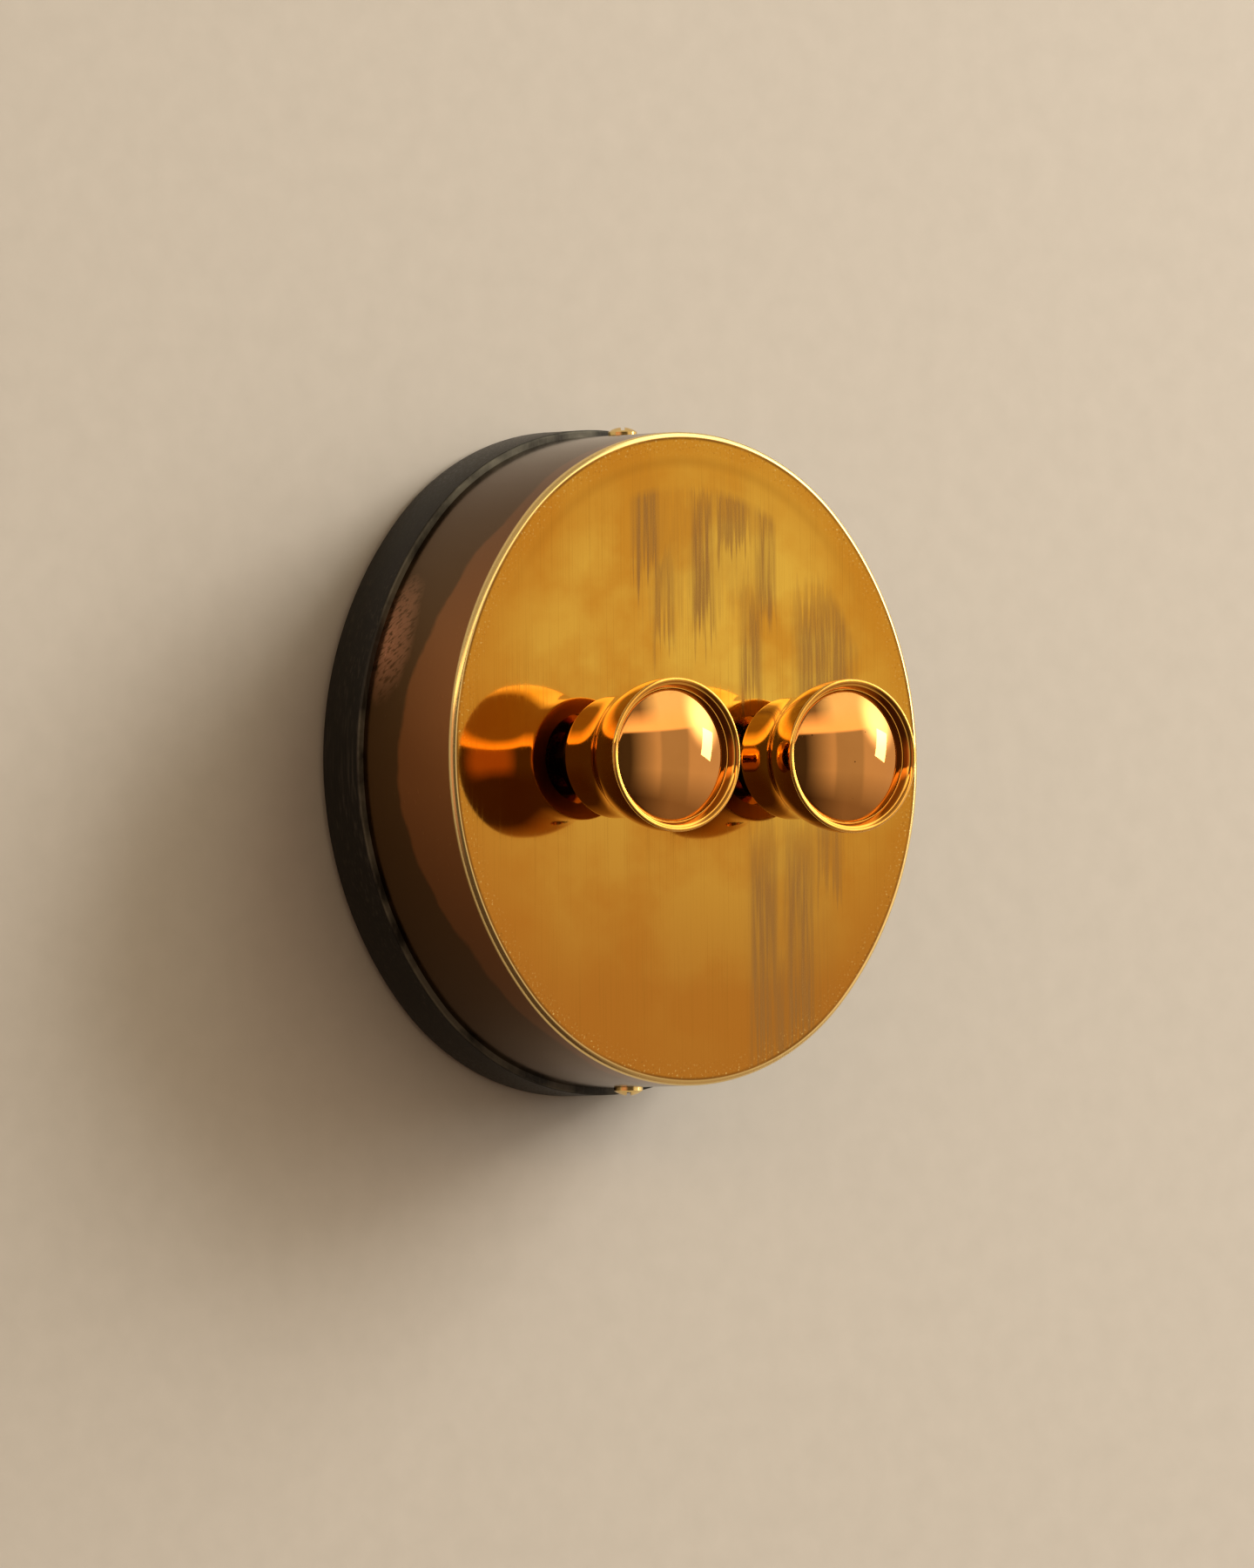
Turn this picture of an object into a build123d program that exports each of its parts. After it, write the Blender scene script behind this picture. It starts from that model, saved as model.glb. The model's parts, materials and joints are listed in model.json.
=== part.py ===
from build123d import *
from math import atan, cos, degrees, radians, tan
import os

# A double rotary dimmer for a wall: an oval brass cover over a black moulded base,
# with two push-on, turn-to-dim knobs.
# All sizes are millimetres. The origin is the centre of the back, on the wall.
# The front faces -Y, +Z is up, and a "height" below is a distance in front of the wall.

# Cover: a drawn brass cup, oval, a little taller than wide.
# Its outline is four arcs, and the arc angle is where a side arc meets an end arc.
cover_width = 95.5
cover_height = 110.0
cover_arc_angle = 41.9
cover_depth = 26.5
cover_wall = 1.2
cover_edge_radius = 0.95

# Base: a black moulded ring with a floor, a step wider than the cover
base_thickness = 11.3
base_step = 1.2
base_floor = 3.0
base_front_chamfer = 0.35
base_rear_chamfer = 1.0
spigot_wall = 2.3
spigot_height = 4.0
spigot_clearance = 0.25
rib_count = 8
rib_thickness = 1.6
rib_height = 2.5

# Cable entry and wall fixing in the base's floor
entry_radius = 22.0
entry_collar_wall = 2.0
entry_collar_height = 2.0
fixing_spacing = 60.3
fixing_hole_radius = 2.1
fixing_slot_length = 7.5
fixing_pad_margin = 2.2
fixing_pad_height = 1.2

# Cover screws, in the cover's side at the top and the bottom, and their brass inserts
cover_screw_setback = 8.3
cover_screw_radius = 1.5
cover_screw_length = 8.6
cover_screw_head_radius = 2.45
cover_screw_head_height = 1.4
cover_screw_slot_width = 0.7
cover_screw_slot_depth = 0.6
cover_screw_hole_clearance = 0.2
insert_radius = 2.6
insert_length = 6.0
insert_inset = 0.25
tower_width = 9.0
tower_wall = 2.6
screw_fit = 0.05

# Knobs: turned brass, a barrel that flares to a rolled lip round a polished dome
knob_spacing = 35.8
knob_nut_gap = 0.3
knob_length = 18.5
knob_barrel_radius = 10.3
knob_barrel_length = 3.7
knob_rim_radius = 12.95
knob_rim_length = 0.6
knob_lip_radius = 0.4
knob_back_radius = 0.3
dish_ledge_radius = 11.95
dish_ledge_depth = 0.5
dish_ledge = 0.12
dish_floor_margin = 0.14
dome_radius = 11.1
dome_edge_depth = 1.65
dome_edge_chamfer = 0.15
dome_seat = 1.8
dome_clearance = 0.06
dome_rise = 2.0
knob_recess_radius = 7.6
knob_recess_depth = 2.0
knob_socket_depth = 12.0
knob_socket_clearance = 0.03
grub_radius = 1.5
grub_length = 5.0
grub_setback = 7.0
grub_key_across = 1.5
grub_key_depth = 2.0

# Spindle, bush, washer and nut
spindle_radius = 3.0
spindle_flat = 1.6
spindle_flat_length = 9.4
spindle_end_gap = 0.3
spindle_tail_radius = 2.0
spindle_tail_length = 3.7
spindle_fit = 0.05
bush_radius = 4.5
bush_flange_radius = 7.0
bush_flange_thickness = 1.5
bush_hole_clearance = 0.15
washer_radius = 6.8
washer_thickness = 0.8
nut_across = 12.0
nut_thickness = 2.5
nut_chamfer = 0.4

# Push plunger, its clip and its spring, inside the control
push_travel = 1.2
plunger_radius = 5.0
plunger_thickness = 2.5
plunger_key_width = 2.4
plunger_key_reach = 1.2
plunger_clearance = 0.3
plunger_front_gap = 0.2
plunger_bore_fit = 0.1
clip_outer_radius = 3.4
clip_thickness = 0.5
clip_groove_depth = 0.4
clip_groove_slack = 0.1
clip_gap = 0.25
clip_mouth = 2.0
spring_wire = 0.5
spring_mean_radius = 4.2
spring_turns = 3
control_width = 18.0
control_depth = 8.0
control_front_wall = 1.0
control_corner_radius = 1.5

# Dimmer case, one behind each knob, closed by an aluminium plate
case_width = 31.0
case_height = 54.0
case_depth = 18.0
case_wall = 1.6
case_front_wall = 2.0
case_corner_radius = 3.0
boss_radius = 2.6
boss_inset = 1.3
lid_thickness = 1.5
lid_screw_radius = 1.1
lid_screw_length = 7.0
lid_screw_head_radius = 2.1
lid_screw_head_height = 1.2
lid_screw_slot_width = 0.5
lid_screw_slot_depth = 0.5

# Electrical parts in the case
board_thickness = 1.6
board_clearance = 0.4
choke_gap = 1.2
choke_inner_radius = 2.8
choke_thickness = 5.0
choke_chamfer = 1.0
capacitor_width = 13.0
capacitor_height = 6.0
capacitor_depth = 9.0
capacitor_edge_gap = 4.4
triac_width = 10.0
triac_height = 15.0
triac_depth = 4.4
triac_tab_thickness = 1.3
triac_tab_height = 6.0
triac_hole_radius = 1.5
triac_height_above_axis = 6.0

# Terminal block, behind the case's lower end
terminal_count = 3
terminal_pitch = 6.0
terminal_block_width = 19.0
terminal_block_height = 9.4
terminal_block_depth = 11.6
terminal_edge_gap = 1.3
terminal_slot_clearance = 0.3
clamp_width = 4.8
clamp_height = 6.0
clamp_depth = 6.0
clamp_clearance = 0.15
clamp_wire_radius = 1.5
clamp_back_wall = 3.4
terminal_screw_radius = 1.3
terminal_screw_length = 5.4
terminal_screw_head_radius = 1.9
terminal_screw_head_height = 1.4
terminal_screw_slot_width = 0.5
terminal_screw_slot_depth = 0.5
terminal_screw_recess = 0.6

# Earth terminal, soldered inside the cover's face
earth_block_size = 8.0
earth_block_depth = 7.0
earth_drop = 37.0
earth_wire_radius = 1.6
earth_wire_setback = 2.7
earth_screw_radius = 1.9
earth_screw_length = 4.0
earth_screw_head_radius = 3.0
earth_screw_head_height = 1.6
earth_screw_slot_width = 0.8
earth_screw_slot_depth = 0.7

# Sizes that follow from the ones above
face_height = base_thickness + cover_depth
inner_face_height = face_height - cover_wall
case_front = inner_face_height
case_back = case_front - case_depth
lid_back = case_back - lid_thickness
flange_front = case_front - case_front_wall
control_front = flange_front - bush_flange_thickness
control_back = control_front - control_depth
board_back = control_back - board_thickness
washer_front = face_height + washer_thickness
nut_front = washer_front + nut_thickness
knob_back = nut_front + push_travel + knob_nut_gap
knob_front = knob_back + knob_length
cavity_front = control_front - control_front_wall
plunger_front = cavity_front - plunger_front_gap
plunger_back = plunger_front - plunger_thickness
clip_front = plunger_back - clip_gap
clip_back = clip_front - clip_thickness
cavity_radius = plunger_radius + plunger_clearance
block_back = board_back - terminal_block_depth
case_inner_top = case_height / 2 - case_wall
choke_outer_radius = (case_inner_top - control_width / 2) / 2 - choke_gap
choke_rise = case_inner_top - choke_gap - choke_outer_radius
capacitor_drop = case_inner_top - capacitor_edge_gap - capacitor_height / 2
terminal_drop = case_inner_top - terminal_edge_gap - terminal_block_height / 2
cover_screw_height = base_thickness + cover_screw_setback
half_cover_height = cover_height / 2
half_cover_width = cover_width / 2
arc_slope = tan(radians(cover_arc_angle))
arc_reach = 1 / cos(radians(cover_arc_angle))
side_centre_offset = (half_cover_height - half_cover_width) / (1 + arc_slope - arc_reach)
end_centre_offset = side_centre_offset * arc_slope
cover_side_radius = half_cover_width + side_centre_offset
cover_end_radius = half_cover_height - end_centre_offset
sides = {"left": -1, "right": 1}


def slab(sketch, start, stop):
    """Extrude a sketch seen from the front, between two heights in front of the wall."""
    return extrude(Plane.XZ.offset(start) * sketch, stop - start)


def oval(inset):
    """The cover's outline, four arcs that meet in line, drawn in by an amount."""
    meeting = cover_arc_angle
    end_sweep = 180 - 2 * meeting
    end_radius = cover_end_radius - inset
    side_radius = cover_side_radius - inset
    arcs = Curve() + [
        CenterArc((-side_centre_offset, 0), side_radius, -meeting, 2 * meeting),
        CenterArc((0, end_centre_offset), end_radius, meeting, end_sweep),
        CenterArc((side_centre_offset, 0), side_radius, 180 - meeting, 2 * meeting),
        CenterArc((0, -end_centre_offset), end_radius, 180 + meeting, end_sweep),
    ]
    return make_face(arcs)


def disc(radius, start, stop):
    """A round bar along the knob's axis."""
    return slab(Circle(radius), start, stop)


def place(part, side):
    """Put a piece drawn on the centre line behind or on its own knob."""
    return Pos(sides[side] * knob_spacing / 2, 0, 0) * part


def turned(outline):
    """Revolve an outline, drawn as radius and height, round the knob's axis."""
    return revolve(make_face(Plane.XY * mirror(outline, about=Plane.XZ)), Axis.Y)


def upright_bar(radius, low, high, height):
    """A round bar that stands along Z, at a height in front of the wall."""
    return Pos(0, -height, low) * extrude(Circle(radius), high - low)


def front_edges(part):
    """The edges of the foremost flat face."""
    return part.faces().sort_by(Axis.Y)[0].edges()


def rear_edges(part):
    """The edges of the rearmost flat face."""
    return part.faces().sort_by(Axis.Y)[-1].edges()


def slotted_screw(radius, length, head_radius, head_height, slot_width, slot_depth):
    """A slotted pan-head screw on the Z axis, its head's underside at zero and its shank below."""
    crown = head_height / 2
    overlap = 2 * head_radius
    outline = Polyline(
        (0, -length),
        (radius, -length),
        (radius, 0),
        (head_radius, 0),
        (head_radius, crown),
        (head_radius - crown, head_height),
        (0, head_height),
        close=True,
    )
    body = revolve(make_face(Plane.XZ * outline), Axis.Z)
    slot = Pos(0, 0, head_height - slot_depth / 2) * Box(2 * overlap, slot_width, slot_depth)
    return body - slot


def rearward(part, height):
    """Turn a piece that stands on Z so that it faces the wall, with its zero at a height."""
    return Pos(0, -height, 0) * Rot(-90, 0, 0) * part


def make_cover():
    body = slab(oval(0), base_thickness, face_height)
    body = fillet(front_edges(body), cover_edge_radius)
    body -= slab(oval(cover_wall), base_thickness, inner_face_height)
    bush_hole = disc(bush_radius + bush_hole_clearance, inner_face_height, face_height)
    for side in sides:
        body -= place(bush_hole, side)
    hole_radius = cover_screw_radius + cover_screw_hole_clearance
    body -= upright_bar(hole_radius, -half_cover_height, half_cover_height, cover_screw_height)
    return body


def make_tower():
    """The lug at the top of the base that holds a cover screw's insert."""
    outer = half_cover_height - cover_wall - spigot_clearance
    depth = insert_inset + insert_length + tower_wall
    top = cover_screw_height + insert_radius + tower_wall
    foot = Pos(0, outer - depth / 2) * Rectangle(tower_width, depth)
    lug = slab(foot, base_floor, top)
    return lug & slab(oval(cover_wall + spigot_clearance), base_floor, top)


def make_base():
    spigot_inset = cover_wall + spigot_clearance
    hollow_inset = spigot_inset + spigot_wall
    body = slab(oval(-base_step), 0, base_thickness)
    body = chamfer(front_edges(body), base_front_chamfer)
    body = chamfer(rear_edges(body), base_rear_chamfer)
    body += slab(oval(spigot_inset), base_thickness, base_thickness + spigot_height)
    body -= slab(oval(hollow_inset), base_floor, base_thickness + spigot_height)

    collar_radius = entry_radius + entry_collar_wall
    collar_top = base_floor + entry_collar_height
    body += disc(collar_radius, base_floor, collar_top)

    ribs = slab(Rectangle(cover_width * 2, rib_thickness), base_floor, base_floor + rib_height)
    spokes = [Rot(0, 180 * (n + 0.5) / (rib_count / 2), 0) * ribs for n in range(rib_count // 2)]
    wheel = spokes[0].fuse(*spokes[1:]) & slab(oval(hollow_inset), base_floor, base_thickness)
    body += wheel

    pad_length = fixing_slot_length + 2 * fixing_pad_margin
    pad_width = 2 * (fixing_hole_radius + fixing_pad_margin)
    pad_top = base_floor + fixing_pad_height
    for side in (-1, 1):
        pad = Pos(side * fixing_spacing / 2, 0) * SlotOverall(pad_length, pad_width)
        body += slab(pad, base_floor, pad_top)
        slot = Pos(side * fixing_spacing / 2, 0) * SlotOverall(fixing_slot_length, 2 * fixing_hole_radius)
        body -= slab(slot, 0, pad_top)

    body -= disc(entry_radius, 0, base_thickness)

    outer = half_cover_height - spigot_inset
    insert_seat = outer - insert_inset - insert_length
    lug = make_tower()
    lug -= upright_bar(insert_radius + screw_fit, insert_seat, outer, cover_screw_height)
    screw_way = cover_screw_radius + cover_screw_hole_clearance
    lug -= upright_bar(screw_way, 0, outer, cover_screw_height)
    body += lug
    body += mirror(lug, about=Plane.XY)
    return body


def make_insert():
    """The brass insert in the upper lug."""
    top = half_cover_height - cover_wall - spigot_clearance - insert_inset
    low = top - insert_length
    body = upright_bar(insert_radius, low, top, cover_screw_height)
    return body - upright_bar(cover_screw_radius + screw_fit, low, top, cover_screw_height)


def make_inserts():
    upper = make_insert()
    return Compound([upper.solid(), mirror(upper, about=Plane.XY).solid()])


def make_cover_screw():
    """The upper cover screw; its slot runs round the cover."""
    screw = slotted_screw(
        cover_screw_radius,
        cover_screw_length,
        cover_screw_head_radius,
        cover_screw_head_height,
        cover_screw_slot_width,
        cover_screw_slot_depth,
    )
    return Pos(0, -cover_screw_height, half_cover_height) * screw


def make_knob():
    rim_start = knob_front - knob_lip_radius - knob_rim_length
    lip_base = knob_front - knob_lip_radius
    lip_inner = knob_rim_radius - 2 * knob_lip_radius
    flare_start = knob_back + knob_barrel_length
    ledge_height = knob_front - dish_ledge_depth
    edge_height = knob_front - dome_edge_depth
    floor_height = edge_height - dome_seat
    pocket_radius = dome_radius + dome_clearance
    flare_reach = knob_rim_radius - knob_barrel_radius
    flare_length = rim_start - flare_start
    flare_radius = (flare_length ** 2 + flare_reach ** 2) / (4 * flare_reach)
    flare_turn = 2 * degrees(atan(flare_reach / flare_length))
    flare_out = JernArc((knob_barrel_radius, flare_start), (0, 1), flare_radius, -flare_turn)
    flare_in = JernArc(flare_out @ 1, flare_out % 1, flare_radius, flare_turn)
    outline = Curve() + [
        Line((0, floor_height), (0, knob_back)),
        Line((0, knob_back), (knob_barrel_radius - knob_back_radius, knob_back)),
        Line(
            (knob_barrel_radius - knob_back_radius, knob_back),
            (knob_barrel_radius, knob_back + knob_back_radius),
        ),
        Line((knob_barrel_radius, knob_back + knob_back_radius), (knob_barrel_radius, flare_start)),
        flare_out,
        flare_in,
        Line((knob_rim_radius, rim_start), (knob_rim_radius, lip_base)),
        ThreePointArc(
            (knob_rim_radius, lip_base),
            (knob_rim_radius - knob_lip_radius, knob_front),
            (lip_inner, lip_base),
        ),
        Polyline(
            (lip_inner, lip_base),
            (dish_ledge_radius, ledge_height),
            (dish_ledge_radius - dish_ledge, ledge_height),
            (pocket_radius + dish_floor_margin, edge_height),
            (pocket_radius, edge_height),
            (pocket_radius, floor_height),
            (0, floor_height),
        ),
    ]
    body = turned(outline)
    body -= disc(knob_recess_radius, knob_back, knob_back + knob_recess_depth)
    socket_radius = spindle_radius + knob_socket_clearance
    body -= disc(socket_radius, knob_back, knob_back + knob_socket_depth)
    grub_hole = upright_bar(grub_radius + screw_fit, -knob_rim_radius, 0, knob_back + grub_setback)
    return body - grub_hole


def make_dome():
    """The polished dome set in the bottom of the knob's dish."""
    edge_height = knob_front - dome_edge_depth
    floor_height = edge_height - dome_seat
    rim = dome_radius - dome_edge_chamfer
    apex = edge_height + dome_rise
    sphere_radius = (rim ** 2 + dome_rise ** 2) / (2 * dome_rise)
    outline = Curve() + [
        Polyline(
            (0, apex),
            (0, floor_height),
            (dome_radius, floor_height),
            (dome_radius, edge_height - dome_edge_chamfer),
            (rim, edge_height),
        ),
        RadiusArc((rim, edge_height), (0, apex), -sphere_radius),
    ]
    return turned(outline)


def make_grub_screw():
    """The screw under the knob that bears on the spindle's flat."""
    height = knob_back + grub_setback
    body = upright_bar(grub_radius, -spindle_flat - grub_length, -spindle_flat, height)
    key = Pos(0, -height, -spindle_flat - grub_length) * extrude(
        RegularPolygon(grub_key_across / 2, 6, major_radius=False), grub_key_depth
    )
    return body - key


def make_spindle():
    end = knob_back + knob_socket_depth - spindle_end_gap
    body = disc(spindle_radius, plunger_front, end)
    body += disc(spindle_tail_radius, plunger_front - spindle_tail_length, plunger_front)
    flat = Pos(0, -spindle_flat - spindle_radius) * Rectangle(4 * spindle_radius, 2 * spindle_radius)
    body -= slab(flat, end - spindle_flat_length, end)
    groove_front = clip_front + clip_groove_slack / 2
    groove_back = clip_back - clip_groove_slack / 2
    groove = Circle(spindle_radius) - Circle(spindle_tail_radius - clip_groove_depth)
    return body - slab(groove, groove_back, groove_front)


def make_clip():
    """The open ring that keeps the plunger on the spindle's tail."""
    bore_radius = spindle_tail_radius - clip_groove_depth + clip_groove_slack / 2
    ring = Circle(clip_outer_radius) - Circle(bore_radius)
    ring -= Pos(0, clip_outer_radius / 2) * Rectangle(clip_mouth, clip_outer_radius)
    return slab(ring, clip_back, clip_front)


def make_bush():
    outline = Circle(bush_radius) - Circle(spindle_radius + spindle_fit)
    body = slab(outline, control_front, nut_front)
    flange = Circle(bush_flange_radius) - Circle(spindle_radius + spindle_fit)
    return body + slab(flange, control_front, flange_front)


def make_washer():
    ring = Circle(washer_radius) - Circle(bush_radius + bush_hole_clearance)
    return slab(ring, face_height, washer_front)


def make_nut():
    hexagon = RegularPolygon(nut_across / 2, 6, major_radius=False)
    body = slab(hexagon, washer_front, nut_front)
    corner_radius = nut_across / 3 ** 0.5
    cone = disc(corner_radius, washer_front, nut_front)
    cone = chamfer(front_edges(cone), nut_chamfer)
    body &= cone
    return body - disc(bush_radius + screw_fit, washer_front, nut_front)


def make_plunger():
    """The sliding collar behind the spindle's shoulder; two keys stop it turning."""
    outline = Circle(plunger_radius)
    reach = plunger_radius + plunger_key_reach
    outline += Rectangle(2 * reach, plunger_key_width)
    outline -= Circle(spindle_tail_radius + plunger_bore_fit)
    return slab(outline, plunger_back, plunger_front)


def make_spring():
    room = plunger_back - control_back
    rise = room - 2 * spring_wire
    path = Helix(rise / spring_turns, rise, spring_mean_radius)
    section = Plane(path @ 0, z_dir=path % 0) * Rectangle(spring_wire, spring_wire)
    wire = sweep(section, path=path, is_frenet=True)
    return Pos(0, -control_back - spring_wire, 0) * Rot(90, 0, 0) * wire


def make_control():
    """The control's housing, open at the back for the plunger and its spring."""
    outline = RectangleRounded(control_width, control_width, control_corner_radius)
    body = slab(outline, control_back, control_front)
    body -= disc(cavity_radius, control_back, cavity_front)
    key_reach = plunger_radius + plunger_key_reach + plunger_clearance
    key_way = Rectangle(2 * key_reach, plunger_key_width + 2 * plunger_clearance)
    body -= slab(key_way, control_back, cavity_front)
    return body - disc(spindle_radius + plunger_clearance, cavity_front, control_front)


def boss_places():
    """The four corner bosses of a case, seen from the front."""
    across = case_width / 2 - case_wall - boss_inset
    upward = case_height / 2 - case_wall - boss_inset
    return [Pos(x * across, z * upward) for x in (-1, 1) for z in (-1, 1)]


def make_case():
    outline = RectangleRounded(case_width, case_height, case_corner_radius)
    room = RectangleRounded(
        case_width - 2 * case_wall,
        case_height - 2 * case_wall,
        case_corner_radius - case_wall,
    )
    body = slab(outline, case_back, case_front)
    body -= slab(room, case_back, flange_front)
    for spot in boss_places():
        body += slab(spot * Circle(boss_radius) & outline, case_back, flange_front)
        pilot = spot * Circle(lid_screw_radius + screw_fit)
        body -= slab(pilot, case_back, case_back + lid_screw_length)
    return body - disc(bush_radius + bush_hole_clearance, flange_front, case_front)


def make_lid():
    """The aluminium plate that closes the case and spreads its heat."""
    outline = RectangleRounded(case_width, case_height, case_corner_radius)
    window = Pos(0, -terminal_drop) * Rectangle(
        terminal_block_width + 2 * terminal_slot_clearance,
        terminal_block_height + 2 * terminal_slot_clearance,
    )
    body = slab(outline - window, lid_back, case_back)
    hole_radius = lid_screw_radius + cover_screw_hole_clearance
    for spot in boss_places():
        body -= slab(spot * Circle(hole_radius), lid_back, case_back)
    return body


def make_lid_screws():
    screw = slotted_screw(
        lid_screw_radius,
        lid_screw_length,
        lid_screw_head_radius,
        lid_screw_head_height,
        lid_screw_slot_width,
        lid_screw_slot_depth,
    )
    screw = rearward(screw, lid_back)
    places = [spot.position for spot in boss_places()]
    return Compound([(Pos(spot.X, 0, spot.Y) * screw).solid() for spot in places])


def make_board():
    """The circuit board, notched round the case's bosses."""
    inset = 2 * (case_wall + board_clearance)
    outline = Rectangle(case_width - inset, case_height - inset)
    for spot in boss_places():
        outline -= spot * Circle(boss_radius + board_clearance)
    return slab(outline, board_back, control_back)


def make_choke():
    """The ring-shaped coil, with its edges rounded off by the winding."""
    ring = disc(choke_outer_radius, control_back, control_back + choke_thickness)
    ring -= disc(choke_inner_radius, control_back, control_back + choke_thickness)
    round_edges = ring.edges().filter_by(GeomType.CIRCLE)
    return Pos(0, 0, choke_rise) * chamfer(round_edges, choke_chamfer)


def make_capacitor():
    outline = Pos(0, -capacitor_drop) * Rectangle(capacitor_width, capacitor_height)
    return slab(outline, control_back, control_back + capacitor_depth)


def make_triac():
    """The power switch, lying on the aluminium plate with its tab upwards."""
    block = Pos(0, triac_height_above_axis) * Rectangle(triac_width, triac_height - triac_tab_height)
    body = slab(block, case_back, case_back + triac_depth)
    top = triac_height_above_axis + (triac_height - triac_tab_height) / 2
    tab = Pos(0, top + triac_tab_height / 2) * Rectangle(triac_width, triac_tab_height)
    hole = Pos(0, top + triac_tab_height / 2) * Circle(triac_hole_radius)
    return body + slab(tab - hole, case_back, case_back + triac_tab_thickness)


def terminal_places():
    """The terminals' positions across the block."""
    first = -(terminal_count - 1) / 2
    return [(first + n) * terminal_pitch for n in range(terminal_count)]


def clamp_front():
    return block_back + clamp_back_wall + clamp_depth


def make_terminal_block():
    outline = Pos(0, -terminal_drop) * Rectangle(terminal_block_width, terminal_block_height)
    body = slab(outline, block_back, board_back)
    clamp_room = clamp_width + 2 * clamp_clearance
    pocket_height = clamp_height + 2 * clamp_clearance
    mouth = -terminal_drop - terminal_block_height / 2
    for across in terminal_places():
        pocket = Pos(across, mouth + pocket_height / 2) * Rectangle(clamp_room, pocket_height)
        pocket_back = block_back + clamp_back_wall - clamp_clearance
        body -= slab(pocket, pocket_back, clamp_front() + clamp_clearance)
        way = Pos(across, mouth + pocket_height / 2) * Circle(terminal_screw_head_radius + clamp_clearance)
        body -= slab(way, block_back, pocket_back)
    return body


def make_clamps():
    """The brass blocks that grip the wires, each with a hole from below."""
    mouth = -terminal_drop - terminal_block_height / 2
    middle = mouth + clamp_clearance + clamp_height / 2
    clamp_back = clamp_front() - clamp_depth
    clamps = []
    for across in terminal_places():
        outline = Pos(across, middle) * Rectangle(clamp_width, clamp_height)
        body = slab(outline, clamp_back, clamp_front())
        wire_height = clamp_front() - clamp_width / 2
        wire = upright_bar(clamp_wire_radius, middle - clamp_height, middle + clamp_height, wire_height)
        body -= Pos(across, 0, 0) * wire
        thread = Pos(across, middle) * Circle(terminal_screw_radius + screw_fit)
        body -= slab(thread, clamp_back, wire_height)
        clamps.append(body.solid())
    return Compound(clamps)


def make_terminal_screws():
    screw = slotted_screw(
        terminal_screw_radius,
        terminal_screw_length,
        terminal_screw_head_radius,
        terminal_screw_head_height,
        terminal_screw_slot_width,
        terminal_screw_slot_depth,
    )
    mouth = -terminal_drop - terminal_block_height / 2
    middle = mouth + clamp_clearance + clamp_height / 2
    seat = block_back + terminal_screw_recess + terminal_screw_head_height
    screw = rearward(screw, seat)
    return Compound([(Pos(across, 0, middle) * screw).solid() for across in terminal_places()])


def make_earth_terminal():
    outline = Pos(0, -earth_drop) * Rectangle(earth_block_size, earth_block_size)
    back = inner_face_height - earth_block_depth
    body = slab(outline, back, inner_face_height)
    wire_height = inner_face_height - earth_wire_setback
    wire = Rot(0, 90, 0) * upright_bar(earth_wire_radius, -earth_block_size, earth_block_size, wire_height)
    body -= Pos(0, 0, -earth_drop) * wire
    thread = Pos(0, -earth_drop) * Circle(earth_screw_radius + screw_fit)
    return body - slab(thread, back, wire_height)


def make_earth_screw():
    screw = slotted_screw(
        earth_screw_radius,
        earth_screw_length,
        earth_screw_head_radius,
        earth_screw_head_height,
        earth_screw_slot_width,
        earth_screw_slot_depth,
    )
    back = inner_face_height - earth_block_depth
    return Pos(0, 0, -earth_drop) * rearward(screw, back)


single_pieces = {
    "cover": make_cover,
    "base": make_base,
    "threaded_inserts": make_inserts,
    "cover_screw_top": make_cover_screw,
    "earth_terminal": make_earth_terminal,
    "earth_screw": make_earth_screw,
}
side_pieces = {
    "knob": make_knob,
    "knob_dome": make_dome,
    "grub_screw": make_grub_screw,
    "spindle": make_spindle,
    "retaining_clip": make_clip,
    "push_plunger": make_plunger,
    "push_spring": make_spring,
    "bush": make_bush,
    "bush_washer": make_washer,
    "bush_nut": make_nut,
    "control_housing": make_control,
    "dimmer_case": make_case,
    "heat_plate": make_lid,
    "plate_screws": make_lid_screws,
    "circuit_board": make_board,
    "choke": make_choke,
    "capacitor": make_capacitor,
    "triac": make_triac,
    "terminal_block": make_terminal_block,
    "terminal_clamps": make_clamps,
    "terminal_screws": make_terminal_screws,
}

os.makedirs("parts", exist_ok=True)
for name, make in single_pieces.items():
    export_step(make(), f"parts/{name}.step")
export_step(mirror(make_cover_screw(), about=Plane.XY), "parts/cover_screw_bottom.step")
for name, make in side_pieces.items():
    piece = make()
    for side in sides:
        export_step(place(piece, side), f"parts/{name}_{side}.step")
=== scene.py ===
# %% [markdown]
# A double dimmer for a wall is an oval brass cup on a black moulded ring, with two turned
# knobs. The construction is already modelled and packed: it gives every piece its real size
# and place, and says which pieces move together. This lesson loads it as a fixed frame and
# gives it its looks. A piece whose shape is right keeps its mesh and gets a finish. A piece
# that mirrors its surroundings gets a finer mesh, because a mirror shows every facet.

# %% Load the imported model
import json
from math import atan, cos, hypot, pi, radians, sin, tan

import bmesh
import bpy
from mathutils import Matrix, Vector


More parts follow.
